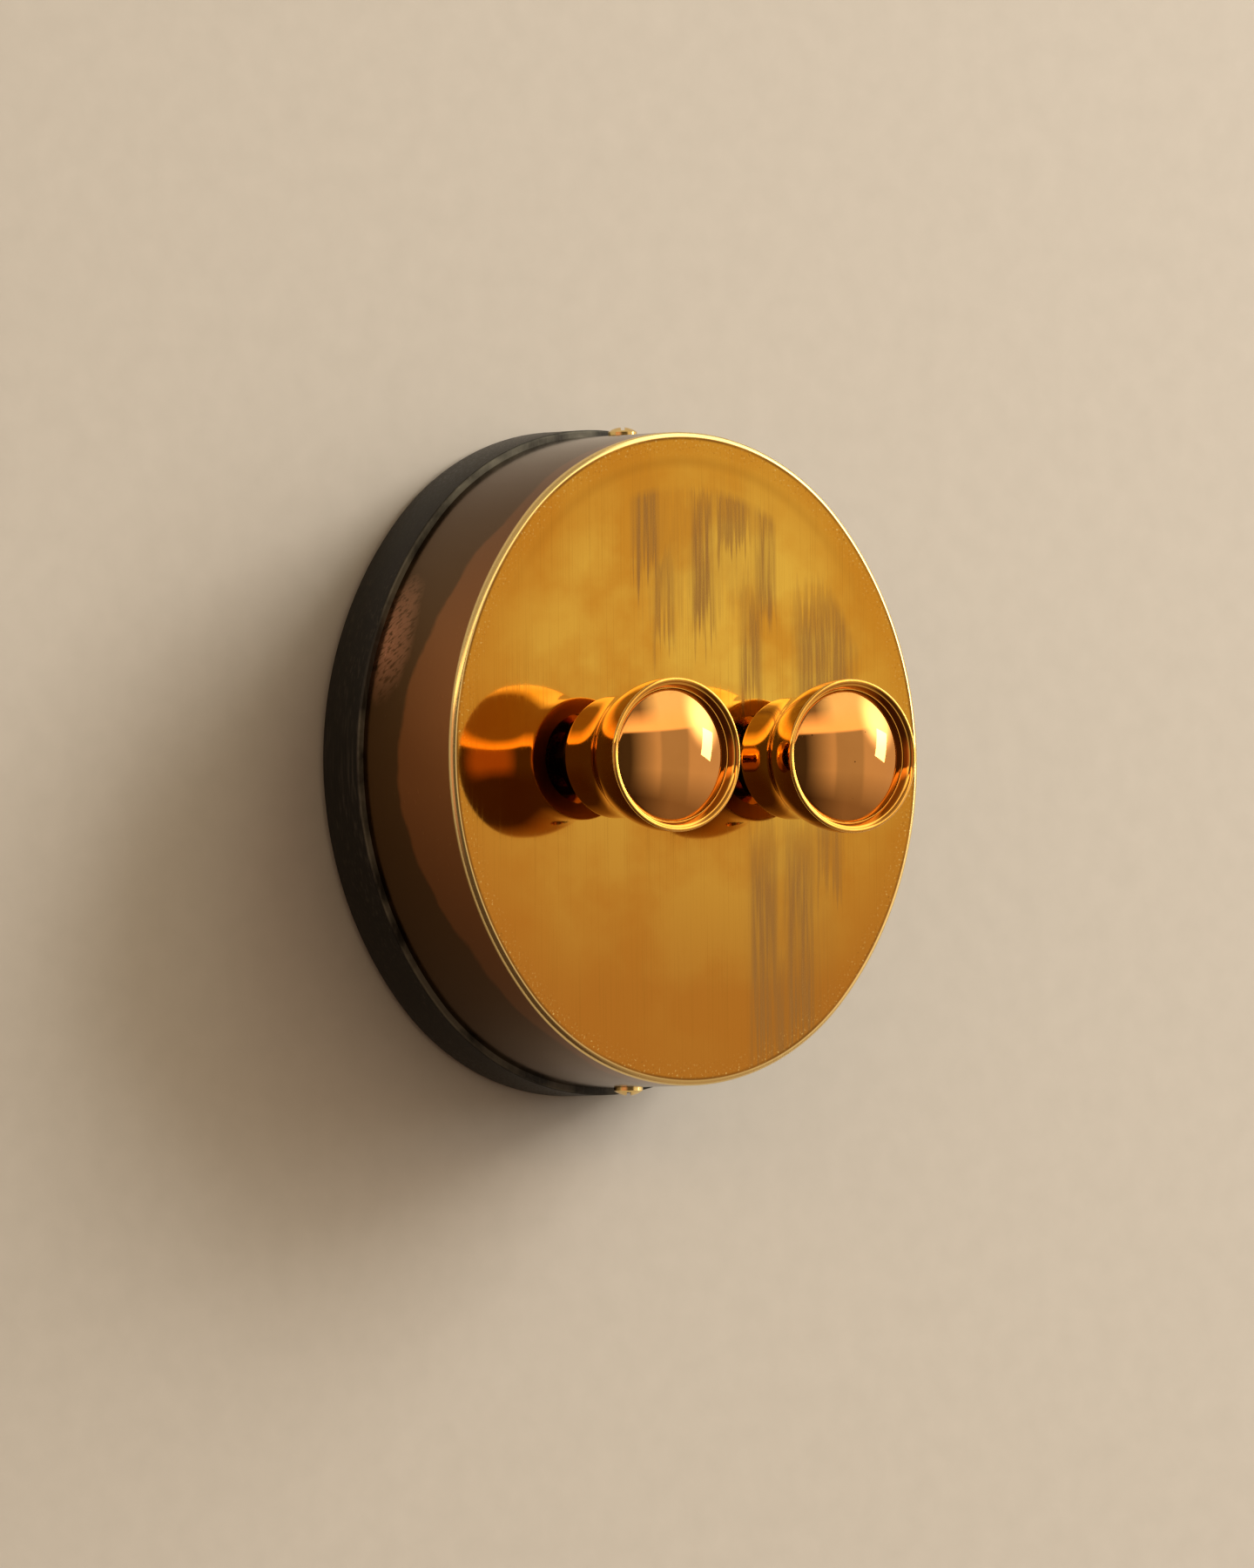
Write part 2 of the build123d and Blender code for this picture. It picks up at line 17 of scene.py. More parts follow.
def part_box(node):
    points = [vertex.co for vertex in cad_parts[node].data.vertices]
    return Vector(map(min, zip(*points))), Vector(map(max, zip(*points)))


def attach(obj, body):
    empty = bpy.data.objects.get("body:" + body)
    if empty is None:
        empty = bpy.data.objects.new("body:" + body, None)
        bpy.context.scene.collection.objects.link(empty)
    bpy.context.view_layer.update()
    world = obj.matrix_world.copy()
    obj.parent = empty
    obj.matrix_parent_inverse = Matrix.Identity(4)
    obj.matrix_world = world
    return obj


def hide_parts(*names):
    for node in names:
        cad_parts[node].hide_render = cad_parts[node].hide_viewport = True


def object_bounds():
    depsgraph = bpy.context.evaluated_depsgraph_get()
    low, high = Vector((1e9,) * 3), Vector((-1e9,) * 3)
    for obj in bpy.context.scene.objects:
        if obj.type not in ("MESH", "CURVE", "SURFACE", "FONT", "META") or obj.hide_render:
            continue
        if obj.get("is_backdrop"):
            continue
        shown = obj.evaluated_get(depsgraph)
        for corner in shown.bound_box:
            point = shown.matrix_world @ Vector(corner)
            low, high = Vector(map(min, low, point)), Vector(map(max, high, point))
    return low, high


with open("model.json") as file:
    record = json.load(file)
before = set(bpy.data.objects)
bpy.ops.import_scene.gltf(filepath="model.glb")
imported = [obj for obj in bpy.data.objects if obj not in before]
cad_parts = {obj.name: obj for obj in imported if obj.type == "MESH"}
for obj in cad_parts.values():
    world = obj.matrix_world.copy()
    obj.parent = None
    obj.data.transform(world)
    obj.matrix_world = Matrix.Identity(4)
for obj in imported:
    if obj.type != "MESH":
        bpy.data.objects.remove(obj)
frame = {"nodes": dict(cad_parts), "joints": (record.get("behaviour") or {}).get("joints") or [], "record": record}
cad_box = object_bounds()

MM = 0.001
nodes = frame["nodes"]
slots = {row["node"]: row["material_slot"] for row in frame["record"]["subparts"]}
SIDES = {"left": -1, "right": 1}
print("nodes:", len(nodes), "slots:", len(set(slots.values())))

# %% [markdown]
# Colours are easiest to choose as the hex values of a picture, but the shaders work in
# linear light, so one function turns the first into the second. A second small function
# adds a node to a material. It takes a number or colour for each input, or a link from
# another node, and that keeps a long material short enough to read. The last one leads what
# a material has worked out into its shader.

# %% Colour and node helpers
def linear(code):
    """The linear colour of an sRGB hex value."""
    channels = [int(code[n:n + 2], 16) / 255 for n in (1, 3, 5)]
    return [c / 12.92 if c <= 0.04045 else ((c + 0.055) / 1.055) ** 2.4 for c in channels] + [1.0]


def add(tree, kind, inputs, **settings):
    """Add a node: its settings, then each input as a value or as a link from a socket."""
    node = tree.nodes.new("ShaderNode" + kind)
    for name, value in settings.items():
        setattr(node, name, value)
    for socket, value in inputs.items():
        if isinstance(value, bpy.types.NodeSocket):
            tree.links.new(value, node.inputs[socket])
        else:
            node.inputs[socket].default_value = value
    return node


def new_finish(name, metallic, roughness):
    """A material with one principled shader, its uniform values set on the sockets."""
    material = bpy.data.materials.new(name)
    material.use_nodes = True
    shader = material.node_tree.nodes["Principled BSDF"]
    shader.inputs["Metallic"].default_value = metallic
    shader.inputs["Roughness"].default_value = roughness
    return material, material.node_tree, shader


def connect(tree, shader, colour, rough, height, strength, depth):
    """Lead a colour, a roughness and a bump of a given depth into the shader."""
    bump = add(tree, "Bump", {"Height": height, "Strength": strength, "Distance": depth})
    links = {"Base Color": colour, "Roughness": rough, "Normal": bump.outputs[0]}
    for socket, value in links.items():
        tree.links.new(value, shader.inputs[socket])


# The Mix node has a set of sockets for each kind of value: these are the colour ones
FACTOR, FROM, TO, RESULT = 0, 6, 7, 2
finishes = {}
print("the face's gold in linear light:", [round(c, 3) for c in linear("#D49B36")])

# %% [markdown]
# The cup is lacquered brass, brushed up and down and rubbed by years of hands. Its colour is
# built in thin layers, of wear and of painted light and shade: each is a tint and a mask that
# says where it lies and how strongly. A layer may follow a noise, such as the brushing, which
# is noise squeezed across the lines and stretched along them. It may follow the shape, as the
# dirt, the specks beside the rim and the painted shade and highlight do. The hazy patches,
# where the lacquer has gone, stand where the real ones do. Real brushing and specks are too
# fine to show in a picture, so the lines are drawn 0.2 mm apart and the specks 0.45 mm.

# %% Sizes of the cup, from the frame
low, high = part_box("cover")
half_width = high.x
half_height = high.z
front = -low.y
back = -high.y
knob_x = -frame["joints"][1]["pos_m"][0]

knob_low, knob_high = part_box("knob_left")
knob_front = -knob_low.y
knob_back = -knob_high.y

# The outline is four arcs: each side arc meets an end arc at this angle
ARC_MEETING = radians(41.9)
EDGE_RADIUS = 0.95 * MM
side_offset = (half_height - half_width) / (1 + tan(ARC_MEETING) - 1 / cos(ARC_MEETING))
end_offset = side_offset * tan(ARC_MEETING)
side_radius = half_width + side_offset
end_radius = half_height - end_offset
print("cup", round(half_width / MM * 2, 1), "by", round(half_height / MM * 2, 1), "mm")
print("knob axes at plus and minus", round(knob_x / MM, 2), "mm")

# %% Patterns of the worn brass
LINE_PITCH = 0.2 * MM
LINE_LENGTH = 26 * MM
STREAK_WIDTH = 0.55 * MM
STREAK_LENGTH = 16 * MM
BLOTCH = 17 * MM
SPECK = 0.45 * MM


def brushing(tree, place):
    """Three noises: the brushed lines, the broader streaks and the soft blotches."""
    noises = []
    for width, length, detail in ((LINE_PITCH, LINE_LENGTH, 2), (STREAK_WIDTH, STREAK_LENGTH, 4)):
        stretched = add(tree, "Mapping", {
            "Vector": place, "Scale": (1 / width, 1 / width, 1 / length),
        })
        noises.append(add(tree, "TexNoise", {
            "Vector": stretched.outputs[0], "Scale": 1, "Detail": detail,
        }).outputs[0])
    blotches = add(tree, "TexNoise", {"Vector": place, "Scale": 1 / BLOTCH, "Detail": 5})
    return *noises, blotches.outputs[0]


print("brushed lines", LINE_PITCH / MM, "mm apart, specks", SPECK / MM, "mm")

# %% [markdown]
# Several kinds of wear keep the same distance from the rim all the way round, so they need
# that distance at each point of the face. It comes from the cup's own arcs: beyond the angle
# at which they meet an end arc is the nearer one, and before it a side arc.

# %% Distance from the rim
def rim_distance(tree, axes):
    """How far in from the cup's outline a point lies, seen from the front."""
    across = add(tree, "Math", {0: axes.outputs[0]}, operation="ABSOLUTE").outputs[0]
    upward = add(tree, "Math", {0: axes.outputs[2]}, operation="ABSOLUTE").outputs[0]
    inward = []
    for shift_x, shift_z, radius in ((side_offset, 0, side_radius), (0, -end_offset, end_radius)):
        point = add(tree, "CombineXYZ", {0: across, 2: upward}).outputs[0]
        moved = add(tree, "VectorMath", {0: point, 1: (shift_x, 0, shift_z)}, operation="ADD")
        far = add(tree, "VectorMath", {0: moved.outputs[0]}, operation="LENGTH").outputs["Value"]
        inward.append(add(tree, "Math", {0: radius, 1: far}, operation="SUBTRACT").outputs[0])
    slope = add(tree, "Math", {
        0: across, 1: tan(ARC_MEETING), 2: end_offset,
    }, operation="MULTIPLY_ADD")
    beyond = add(tree, "Math", {0: upward, 1: slope.outputs[0]}, operation="GREATER_THAN")
    return add(tree, "Mix", {0: beyond.outputs[0], 2: inward[0], 3: inward[1]}).outputs[0]


print("side arcs", round(side_radius / MM, 1), "mm, end arcs", round(end_radius / MM, 1), "mm")

# %% [markdown]
# A hazy patch is a box with soft sides. Its clean sides are upright, along the brushing, and
# the streaks of the noise lift or drop its ends, so each streak stops at a height of its own.

# %% Hazy patches on the face
# Each patch: its centre across and up, its half width and half height in millimetres, and
# its strength
HAZE_PATCHES = (
    (-8, 40, 2.9, 9, 1.0), (-4.4, 27.5, 2.3, 8, 0.8), (3.7, 34.5, 2.5, 12, 1.0),
    (9.8, 42, 4.2, 6, 0.85), (16.4, 34.5, 2.2, 10.5, 0.9), (13.2, 19, 2.4, 10, 0.9),
    (28.5, 17, 6.4, 12, 0.9), (34, 24, 3, 6, 0.5), (4, 36, 14, 11, 0.25),
    (15.5, -32, 3.0, 21, 1.0), (22.8, -30, 3.2, 19, 1.0), (29, -14, 3, 9, 0.7),
    (19, -43, 2.4, 9, 0.9), (21, -30, 9, 20, 0.25),
)
RAGGED = 6 * MM
CORNER_SOFTNESS = 0.35
HAZE_START = 8.6 * MM
HAZE_FULL = 10.2 * MM


def hazy_patches(tree, place, axes, inset, streaks):
    """How dull the lacquer is, from 0 to 1."""
    ends = add(tree, "MapRange", {0: streaks, 1: 0.3, 2: 0.7, 3: -RAGGED, 4: RAGGED})
    drop = add(tree, "CombineXYZ", {2: ends.outputs[0]})
    ragged = add(tree, "VectorMath", {0: place, 1: drop.outputs[0]}, operation="ADD").outputs[0]
    haze = 0
    for x, z, wide, tall, strength in HAZE_PATCHES:
        spot = add(tree, "Mapping", {
            "Vector": ragged, "Scale": (1 / (wide * MM), 0, 1 / (tall * MM)),
            "Location": (-x / wide, 0, -z / tall),
        })
        off = add(tree, "VectorMath", {0: spot.outputs[0]}, operation="ABSOLUTE")
        off = add(tree, "SeparateXYZ", {0: off.outputs[0]})
        off = add(tree, "Math", {
            0: off.outputs[0], 1: off.outputs[2], 2: CORNER_SOFTNESS,
        }, operation="SMOOTH_MAX")
        soft = add(tree, "MapRange", {0: off.outputs[0], 1: 0.65, 2: 1.15, 3: strength, 4: 0})
        haze = add(tree, "Math", {0: haze, 1: soft.outputs[0]}, operation="MAXIMUM").outputs[0]
    # Those in the upper half all start from one line, which follows the rim
    begun = add(tree, "MapRange", {0: inset, 1: HAZE_START, 2: HAZE_FULL, 3: 0.12, 4: 1})
    below = add(tree, "MapRange", {0: axes.outputs[2], 1: 0, 2: -8 * MM, 3: 0, 4: 1})
    begun = add(tree, "Math", {0: begun.outputs[0], 1: below.outputs[0]}, operation="MAXIMUM")
    torn = add(tree, "MapRange", {0: streaks, 1: 0.38, 2: 0.58, 3: 0.4, 4: 1})
    for mask in (begun, torn):
        haze = add(tree, "Math", {0: haze, 1: mask.outputs[0]}, operation="MULTIPLY").outputs[0]
    return haze


print("haze patches on the face:", len(HAZE_PATCHES))

# %% [markdown]
# The face is gold, and more orange towards the rim. Towards the left and the foot it is
# painted darker and more orange, as painted shade. Over that lie the haze, the scratches with
# one faint dark arc that follows the rim round the top, and beside the rim pale specks where
# the lacquer is chipped and dark ones where it is stained. Dirt has settled in a broken line
# just inside the round edge, and the edge itself is painted pale, a painted highlight.

# %% Colour of the face
RIM_ARC = 5 * MM


def face_colour(tree, place, axes, inset, lines, blotches, haze):
    """The gold of the face with its layers of wear, painted shade and a painted highlight."""
    gold = add(tree, "MapRange", {0: blotches, 1: 0.4, 2: 0.6, 3: 0, 4: 1})
    colour = add(tree, "Mix", {
        FACTOR: gold.outputs[0], FROM: linear("#D49B36"), TO: linear("#E6BC4E"),
    }, data_type="RGBA")

    top = add(tree, "MapRange", {
        0: axes.outputs[2], 1: 0.4 * half_height, 2: 0.9 * half_height, 3: 0, 4: 0.2,
    })
    off = add(tree, "Math", {0: inset, 1: RIM_ARC}, operation="SUBTRACT")
    off = add(tree, "Math", {0: off.outputs[0]}, operation="ABSOLUTE")
    arc = add(tree, "MapRange", {
        0: off.outputs[0], 1: 1.3 * MM, 2: 0.2 * MM, 3: 0, 4: top.outputs[0],
    })
    scratch = add(tree, "MapRange", {0: lines, 1: 0.54, 2: 0.75, 3: 0, 4: 0.26})
    dark = add(tree, "Math", {0: scratch.outputs[0], 1: arc.outputs[0]}, operation="ADD")
    grit = add(tree, "TexNoise", {"Vector": place, "Scale": 1 / SPECK, "Detail": 3}).outputs[0]
    beside = add(tree, "MapRange", {
        0: inset, 1: 4.5 * MM, 2: 1.4 * MM, 3: 0, 4: 0.65,
    }).outputs[0]
    broken = add(tree, "MapRange", {0: blotches, 1: 0.35, 2: 0.55, 3: 0.3, 4: 0.9}).outputs[0]
    # Each layer: what it follows, where it starts, where it is full, how strong, and its tint
    layers = (
        (inset, 14 * MM, 3 * MM, 0.7, "#CB8C2A"),
        # Painted shade: these two darken the gold towards the left and the foot
        (axes.outputs[0], 0.2 * half_width, -0.9 * half_width, 0.45, "#BB7C2A"),
        (axes.outputs[2], 0.2 * half_height, -0.7 * half_height, 0.8, "#AD702B"),
        (haze, 0, 1, 0.9, "#926B3A"),
        (dark.outputs[0], 0, 1, 1, "#94661F"),
        (grit, 0.61, 0.68, beside, "#F4D88C"),
        (grit, 0.39, 0.32, beside, "#8A5C24"),
        (inset, 1.45 * MM, 1.1 * MM, broken, "#7E531E"),
        # Painted highlight: the round edge is painted pale
        (inset, 1.0 * MM, 0.75 * MM, 0.85, "#F6DC98"),
    )
    for source, start, full, strength, tint in layers:
        mask = add(tree, "MapRange", {0: source, 1: start, 2: full, 3: 0, 4: strength})
        colour = add(tree, "Mix", {
            FACTOR: mask.outputs[0], FROM: colour.outputs[RESULT], TO: linear(tint),
        }, data_type="RGBA")
    return colour.outputs[RESULT]


print("faint arc", RIM_ARC / MM, "mm in from the rim")

# %% [markdown]
# Down the side the brass has gone brown. It is lighter in a band behind the round edge, which
# is widest half way up, and darker behind the band: that light and dark is a painted reflection,
# of the lit wall and of the wall's shadow. The top and the foot are darker still, in painted
# shade. In one place at the rear left a pale pink patch lies on the brown, torn into slanting
# flecks.

# %% Colour of the side
BAND_MIDDLE = 16.5 * MM
BAND_END = 4 * MM
BAND_WANDER = 1.5 * MM
PINK_PATCH_CENTRE = (-43 * MM, -13.3 * MM, 19.975 * MM)
PINK_PATCH_SIZE = (20 * MM, 7 * MM, 8.5 * MM)
FLECK_SLANT = radians(35)


def side_colour(tree, place, axes, behind, blotches):
    """The brown of the cup's side, with a painted reflection of the wall's light and shadow."""
    height = add(tree, "Math", {0: axes.outputs[2]}, operation="ABSOLUTE").outputs[0]
    band = add(tree, "MapRange", {0: height, 1: 8 * MM, 2: 46 * MM, 3: BAND_MIDDLE, 4: BAND_END})
    wander = add(tree, "MapRange", {0: blotches, 1: 0.3, 2: 0.7, 3: -BAND_WANDER, 4: BAND_WANDER})
    band = add(tree, "Math", {0: band.outputs[0], 1: wander.outputs[0]}, operation="ADD")
    # Painted reflection: the light band paints the lit wall mirrored in the side, the brown behind it the wall's
    # shadow
    past = add(tree, "Math", {0: behind, 1: band.outputs[0]}, operation="SUBTRACT")
    shadow_brown = add(tree, "MapRange", {0: past.outputs[0], 1: -0.5 * MM, 2: 0.5 * MM, 3: 0, 4: 1})
    colour = add(tree, "Mix", {
        FACTOR: shadow_brown.outputs[0], FROM: linear("#A46D40"), TO: linear("#6B4F2E"),
    }, data_type="RGBA")
    # Painted shade: darker towards the top and the foot
    ends = add(tree, "MapRange", {
        0: height, 1: 0.1 * half_height, 2: 0.8 * half_height, 3: 0, 4: 0.65,
    })

    slant = add(tree, "Mapping", {"Vector": place, "Rotation": (FLECK_SLANT, 0, 0)})
    flecks = add(tree, "Mapping", {
        "Vector": slant.outputs[0], "Scale": (1 / SPECK, 1 / (4 * SPECK), 1 / SPECK),
    })
    flecks = add(tree, "TexNoise", {"Vector": flecks.outputs[0], "Scale": 1, "Detail": 2})
    torn = add(tree, "MapRange", {0: flecks.outputs[0], 1: 0.36, 2: 0.5, 3: 0.1, 4: 1})
    patch = add(tree, "Mapping", {
        "Vector": place, "Scale": tuple(1 / size for size in PINK_PATCH_SIZE),
        "Location": tuple(-middle / size for middle, size in zip(PINK_PATCH_CENTRE, PINK_PATCH_SIZE)),
    })
    away = add(tree, "VectorMath", {0: patch.outputs[0]}, operation="LENGTH").outputs["Value"]
    away = add(tree, "Math", {0: blotches, 1: 1.6, 2: away}, operation="MULTIPLY_ADD")
    pink_patch = add(tree, "MapRange", {0: away.outputs[0], 1: 1.1, 2: 2.0, 3: 0.9, 4: 0})
    for mask in (torn, shadow_brown):
        pink_patch = add(tree, "Math", {0: pink_patch.outputs[0], 1: mask.outputs[0]}, operation="MULTIPLY")
    for mask, tint in ((ends, "#4C361E"), (pink_patch, "#D69A78")):
        colour = add(tree, "Mix", {
            FACTOR: mask.outputs[0], FROM: colour.outputs[RESULT], TO: linear(tint),
        }, data_type="RGBA")
    return colour.outputs[RESULT]


print("light band", BAND_MIDDLE / MM, "mm wide half way up,", BAND_END / MM, "mm at the ends")

# %% [markdown]
# The finish joins the two colours just behind the round edge. Haze, brushing and rubbing all
# dull the gloss a little, and the lines raise a slight bump that smears a reflection
# sideways.

# %% Finish of the cup
def worn_brass():
    material, tree, shader = new_finish("lacquer_worn_brass", 1.0, 0.1)
    place = add(tree, "TexCoord", {}).outputs["Object"]
    axes = add(tree, "SeparateXYZ", {0: place})
    inset = rim_distance(tree, axes)
    lines, streaks, blotches = brushing(tree, place)
    haze = hazy_patches(tree, place, axes, inset, streaks)
    behind = add(tree, "Math", {0: axes.outputs[1], 1: front}, operation="ADD").outputs[0]
    round_edge = add(tree, "MapRange", {0: behind, 1: 0.85 * MM, 2: 1.1 * MM, 3: 0, 4: 1})
    colour = add(tree, "Mix", {
        FACTOR: round_edge.outputs[0],
        FROM: face_colour(tree, place, axes, inset, lines, blotches, haze),
        TO: side_colour(tree, place, axes, behind, blotches),
    }, data_type="RGBA")

    rough = add(tree, "MapRange", {0: haze, 1: 0, 2: 1, 3: 0.055, 4: 0.22})
    combed = add(tree, "MapRange", {0: lines, 1: 0.56, 2: 0.74, 3: 0, 4: 0.1})
    edge_rub_and_highlight = add(tree, "MapRange", {0: inset, 1: 1.0 * MM, 2: 0.75 * MM, 3: 0, 4: 0.12})
    for part in (combed, edge_rub_and_highlight):
        rough = add(tree, "Math", {0: rough.outputs[0], 1: part.outputs[0]}, operation="ADD")
    connect(tree, shader, colour.outputs[RESULT], rough.outputs[0], lines, 0.06, 0.01 * MM)
    return material


finishes["lacquer_worn_brass"] = worn_brass()
print("nodes in the cup's finish:", len(finishes["lacquer_worn_brass"].node_tree.nodes))

# %% [markdown]
# The knobs and their domes are brass too, but turned and buffed to a mirror. A mirror has
# hardly any look of its own, so what makes it real is what breaks it: a faint haze in soft
# clouds, a few dark pits, and turning lines as fine rings round the axis. The rings come
# from the distance to the axis, which needs the coordinates centred on each knob, so each
# side has its own copy of the finish. A lathe leaves finer lines: these are 0.3 mm apart, so
# that they show.

# %% Polished brass of the knobs and domes
CLOUD = 6 * MM
PIT_SPACING = 2.6 * MM
PIT_RADIUS = 0.1 * MM
TURNING_PITCH = 0.3 * MM
# How far from the axis the specks at each rim reach: painted highlight on a knob, tarnish with painted shade on a
# dome
KNOB_RIM = 13.4 * MM
DOME_RIM = 11.3 * MM


def polished_brass(name, colours, roughness, x, rim_radius, rim_speck_strength, turning):
    """Buffed brass round an axis at x: haze, pits, turning lines, rim specks with painted light and shade, a dull
    back.
    """
    material, tree, shader = new_finish(name, 1.0, roughness)
    place = add(tree, "TexCoord", {}).outputs["Object"]
    centred = add(tree, "Mapping", {"Vector": place, "Location": (-x, 0, 0)})
    disc = add(tree, "VectorMath", {0: centred.outputs[0], 1: (1, 0, 1)}, operation="MULTIPLY")
    reach = add(tree, "VectorMath", {0: disc.outputs[0]}, operation="LENGTH").outputs["Value"]
    clouds = add(tree, "TexNoise", {"Vector": place, "Scale": 1 / CLOUD, "Detail": 5})
    colour = add(tree, "Mix", {
        FACTOR: clouds.outputs[0], FROM: linear(colours[0]), TO: linear(colours[1]),
    }, data_type="RGBA")
    # Specks creep in from the rim in the third colour: on a knob a pale painted highlight, on a dome dark tarnish
    # with painted shade in the groove
    grit = add(tree, "TexNoise", {"Vector": place, "Scale": 1 / SPECK, "Detail": 3})
    gritty = add(tree, "MapRange", {0: grit.outputs[0], 1: 0.45, 2: 0.62, 3: 0, 4: rim_speck_strength})
    rim = add(tree, "MapRange", {0: reach, 1: rim_radius * 0.88, 2: rim_radius, 3: 0, 4: 1})
    rim_specks = add(tree, "Math", {0: gritty.outputs[0], 1: rim.outputs[0]}, operation="MULTIPLY")
    # A pit is a dark point where a cell of the Voronoi pattern has its centre
    cells = add(tree, "TexVoronoi", {"Vector": place, "Scale": 1 / PIT_SPACING})
    pit_edge = PIT_RADIUS / PIT_SPACING
    pits = add(tree, "MapRange", {
        0: cells.outputs["Distance"], 1: pit_edge, 2: 1.6 * pit_edge, 3: 1, 4: 0,
    })
    rare = add(tree, "SeparateColor", {0: cells.outputs["Color"]})
    few = add(tree, "Math", {0: rare.outputs[0], 1: 0.8}, operation="GREATER_THAN")
    pitted = add(tree, "Math", {0: pits.outputs[0], 1: few.outputs[0]}, operation="MULTIPLY")
    # The back is never rubbed, so it stays as it came off the lathe, dull and brown
    depth = add(tree, "SeparateXYZ", {0: place}).outputs[1]
    unseen = add(tree, "MapRange", {
        0: depth, 1: -knob_back - 0.1 * MM, 2: -knob_back + 0.02 * MM, 3: 0, 4: 1,
    })
    for mask, tint in ((rim_specks, colours[2]), (pitted, "#4A2A10"), (unseen, "#9A7038")):
        colour = add(tree, "Mix", {
            FACTOR: mask.outputs[0], FROM: colour.outputs[RESULT], TO: linear(tint),
        }, data_type="RGBA")
    haze = add(tree, "MapRange", {
        0: clouds.outputs[0], 1: 0.35, 2: 0.7, 3: roughness * 0.7, 4: roughness * 1.6,
    })
    haze = add(tree, "Mix", {0: unseen.outputs[0], 2: haze.outputs[0], 3: 0.5})
    dull = add(tree, "Math", {0: rim_specks.outputs[0], 1: 0.2}, operation="MULTIPLY")
    rough = add(tree, "Math", {0: haze.outputs[0], 1: dull.outputs[0]}, operation="ADD")
    spread = add(tree, "Math", {0: reach, 1: 1 / TURNING_PITCH}, operation="MULTIPLY")
    rings = add(tree, "TexNoise", {
        "W": spread.outputs[0], "Scale": 1, "Detail": 2,
    }, noise_dimensions="1D").outputs[0]
    connect(tree, shader, colour.outputs[RESULT], rough.outputs[0], rings, turning, 0.002 * MM)
    return material


side_finishes = {}
for side, sign in SIDES.items():
    # The knob's pale rim specks are a painted highlight
    side_finishes["knob", side] = polished_brass(
        "polished_knob_brass_" + side, ("#E9B354", "#DDA244", "#F6E2AE"), 0.045,
        sign * knob_x, KNOB_RIM, rim_speck_strength=0.2, turning=0.05,
    )
    # The dome's dark rim specks are tarnish with painted shade in the groove round it
    side_finishes["knob_dome", side] = polished_brass(
        "polished_dome_brass_" + side, ("#BE864A", "#B17A40", "#8E5E30"), 0.025,
        sign * knob_x, DOME_RIM, rim_speck_strength=0.5, turning=0.01,
    )
print("finishes round the knob axes:", len(side_finishes))

# %% [markdown]
# The smaller metal parts share one recipe: a base colour, a darker one in soft patches,
# and fine grain in the roughness. Turned brass, plated steel and rolled aluminium differ in
# their colours, their gloss and the size of the grain, which is drawn coarse enough to show.

# %% Plain metals
METAL_PATCH = 4 * MM


def plain_metal(name, colours, roughness, grain):
    """A worked metal: two close colours in patches, and a fine grain in its gloss."""
    material, tree, shader = new_finish(name, 1.0, roughness)
    place = add(tree, "TexCoord", {}).outputs["Object"]
    patches = add(tree, "TexNoise", {"Vector": place, "Scale": 1 / METAL_PATCH, "Detail": 4})
    spread = add(tree, "MapRange", {0: patches.outputs[0], 1: 0.35, 2: 0.65, 3: 0, 4: 1})
    colour = add(tree, "Mix", {
        FACTOR: spread.outputs[0], FROM: linear(colours[0]), TO: linear(colours[1]),
    }, data_type="RGBA")
    fine = add(tree, "TexNoise", {"Vector": place, "Scale": 1 / grain, "Detail": 2}).outputs[0]
    rough = add(tree, "MapRange", {
        0: fine, 1: 0.3, 2: 0.7, 3: roughness * 0.75, 4: roughness * 1.3,
    })
    connect(tree, shader, colour.outputs[RESULT], rough.outputs[0], fine, 0.2, 0.01 * MM)
    return material


METALS = {
    "screw_brass": (("#F0D590", "#D8B468"), 0.16, 0.3 * MM),
    "bush_brass": (("#D2AE62", "#B48A44"), 0.25, 0.3 * MM),
    "terminal_brass": (("#D8B56A", "#BE9750"), 0.28, 0.25 * MM),
    "nickel_steel": (("#C9C6BE", "#B2AEA5"), 0.22, 0.3 * MM),
    "black_steel": (("#2E2B28", "#221F1D"), 0.35, 0.3 * MM),
    "zinc_steel": (("#C3C8CC", "#A9AFB5"), 0.3, 0.25 * MM),
    "spring_steel": (("#8E9196", "#777A80"), 0.3, 0.2 * MM),
    "aluminium_plate": (("#CDCFD0", "#B9BBBD"), 0.36, 0.2 * MM),
}
for name, values in METALS.items():
    finishes[name] = plain_metal(name, *values)
print("plain metals:", len(METALS))

# %% [markdown]
# The ring under the cup is a black phenolic moulding. Its gloss has gone and it has fine
# upright scratches, and its front arris is painted grey as a highlight, which draws a thin pale
# line round the cup. The scratches are noise stretched upwards, and the painted arris highlight
# is a narrow band of depth, mixed in where a noise lets it through.

# %% Black moulding of the base
base_front = back
SCRATCH_PITCH = 0.45 * MM
SCRATCH_LENGTH = 9 * MM
BASE_CLOUD = 9 * MM


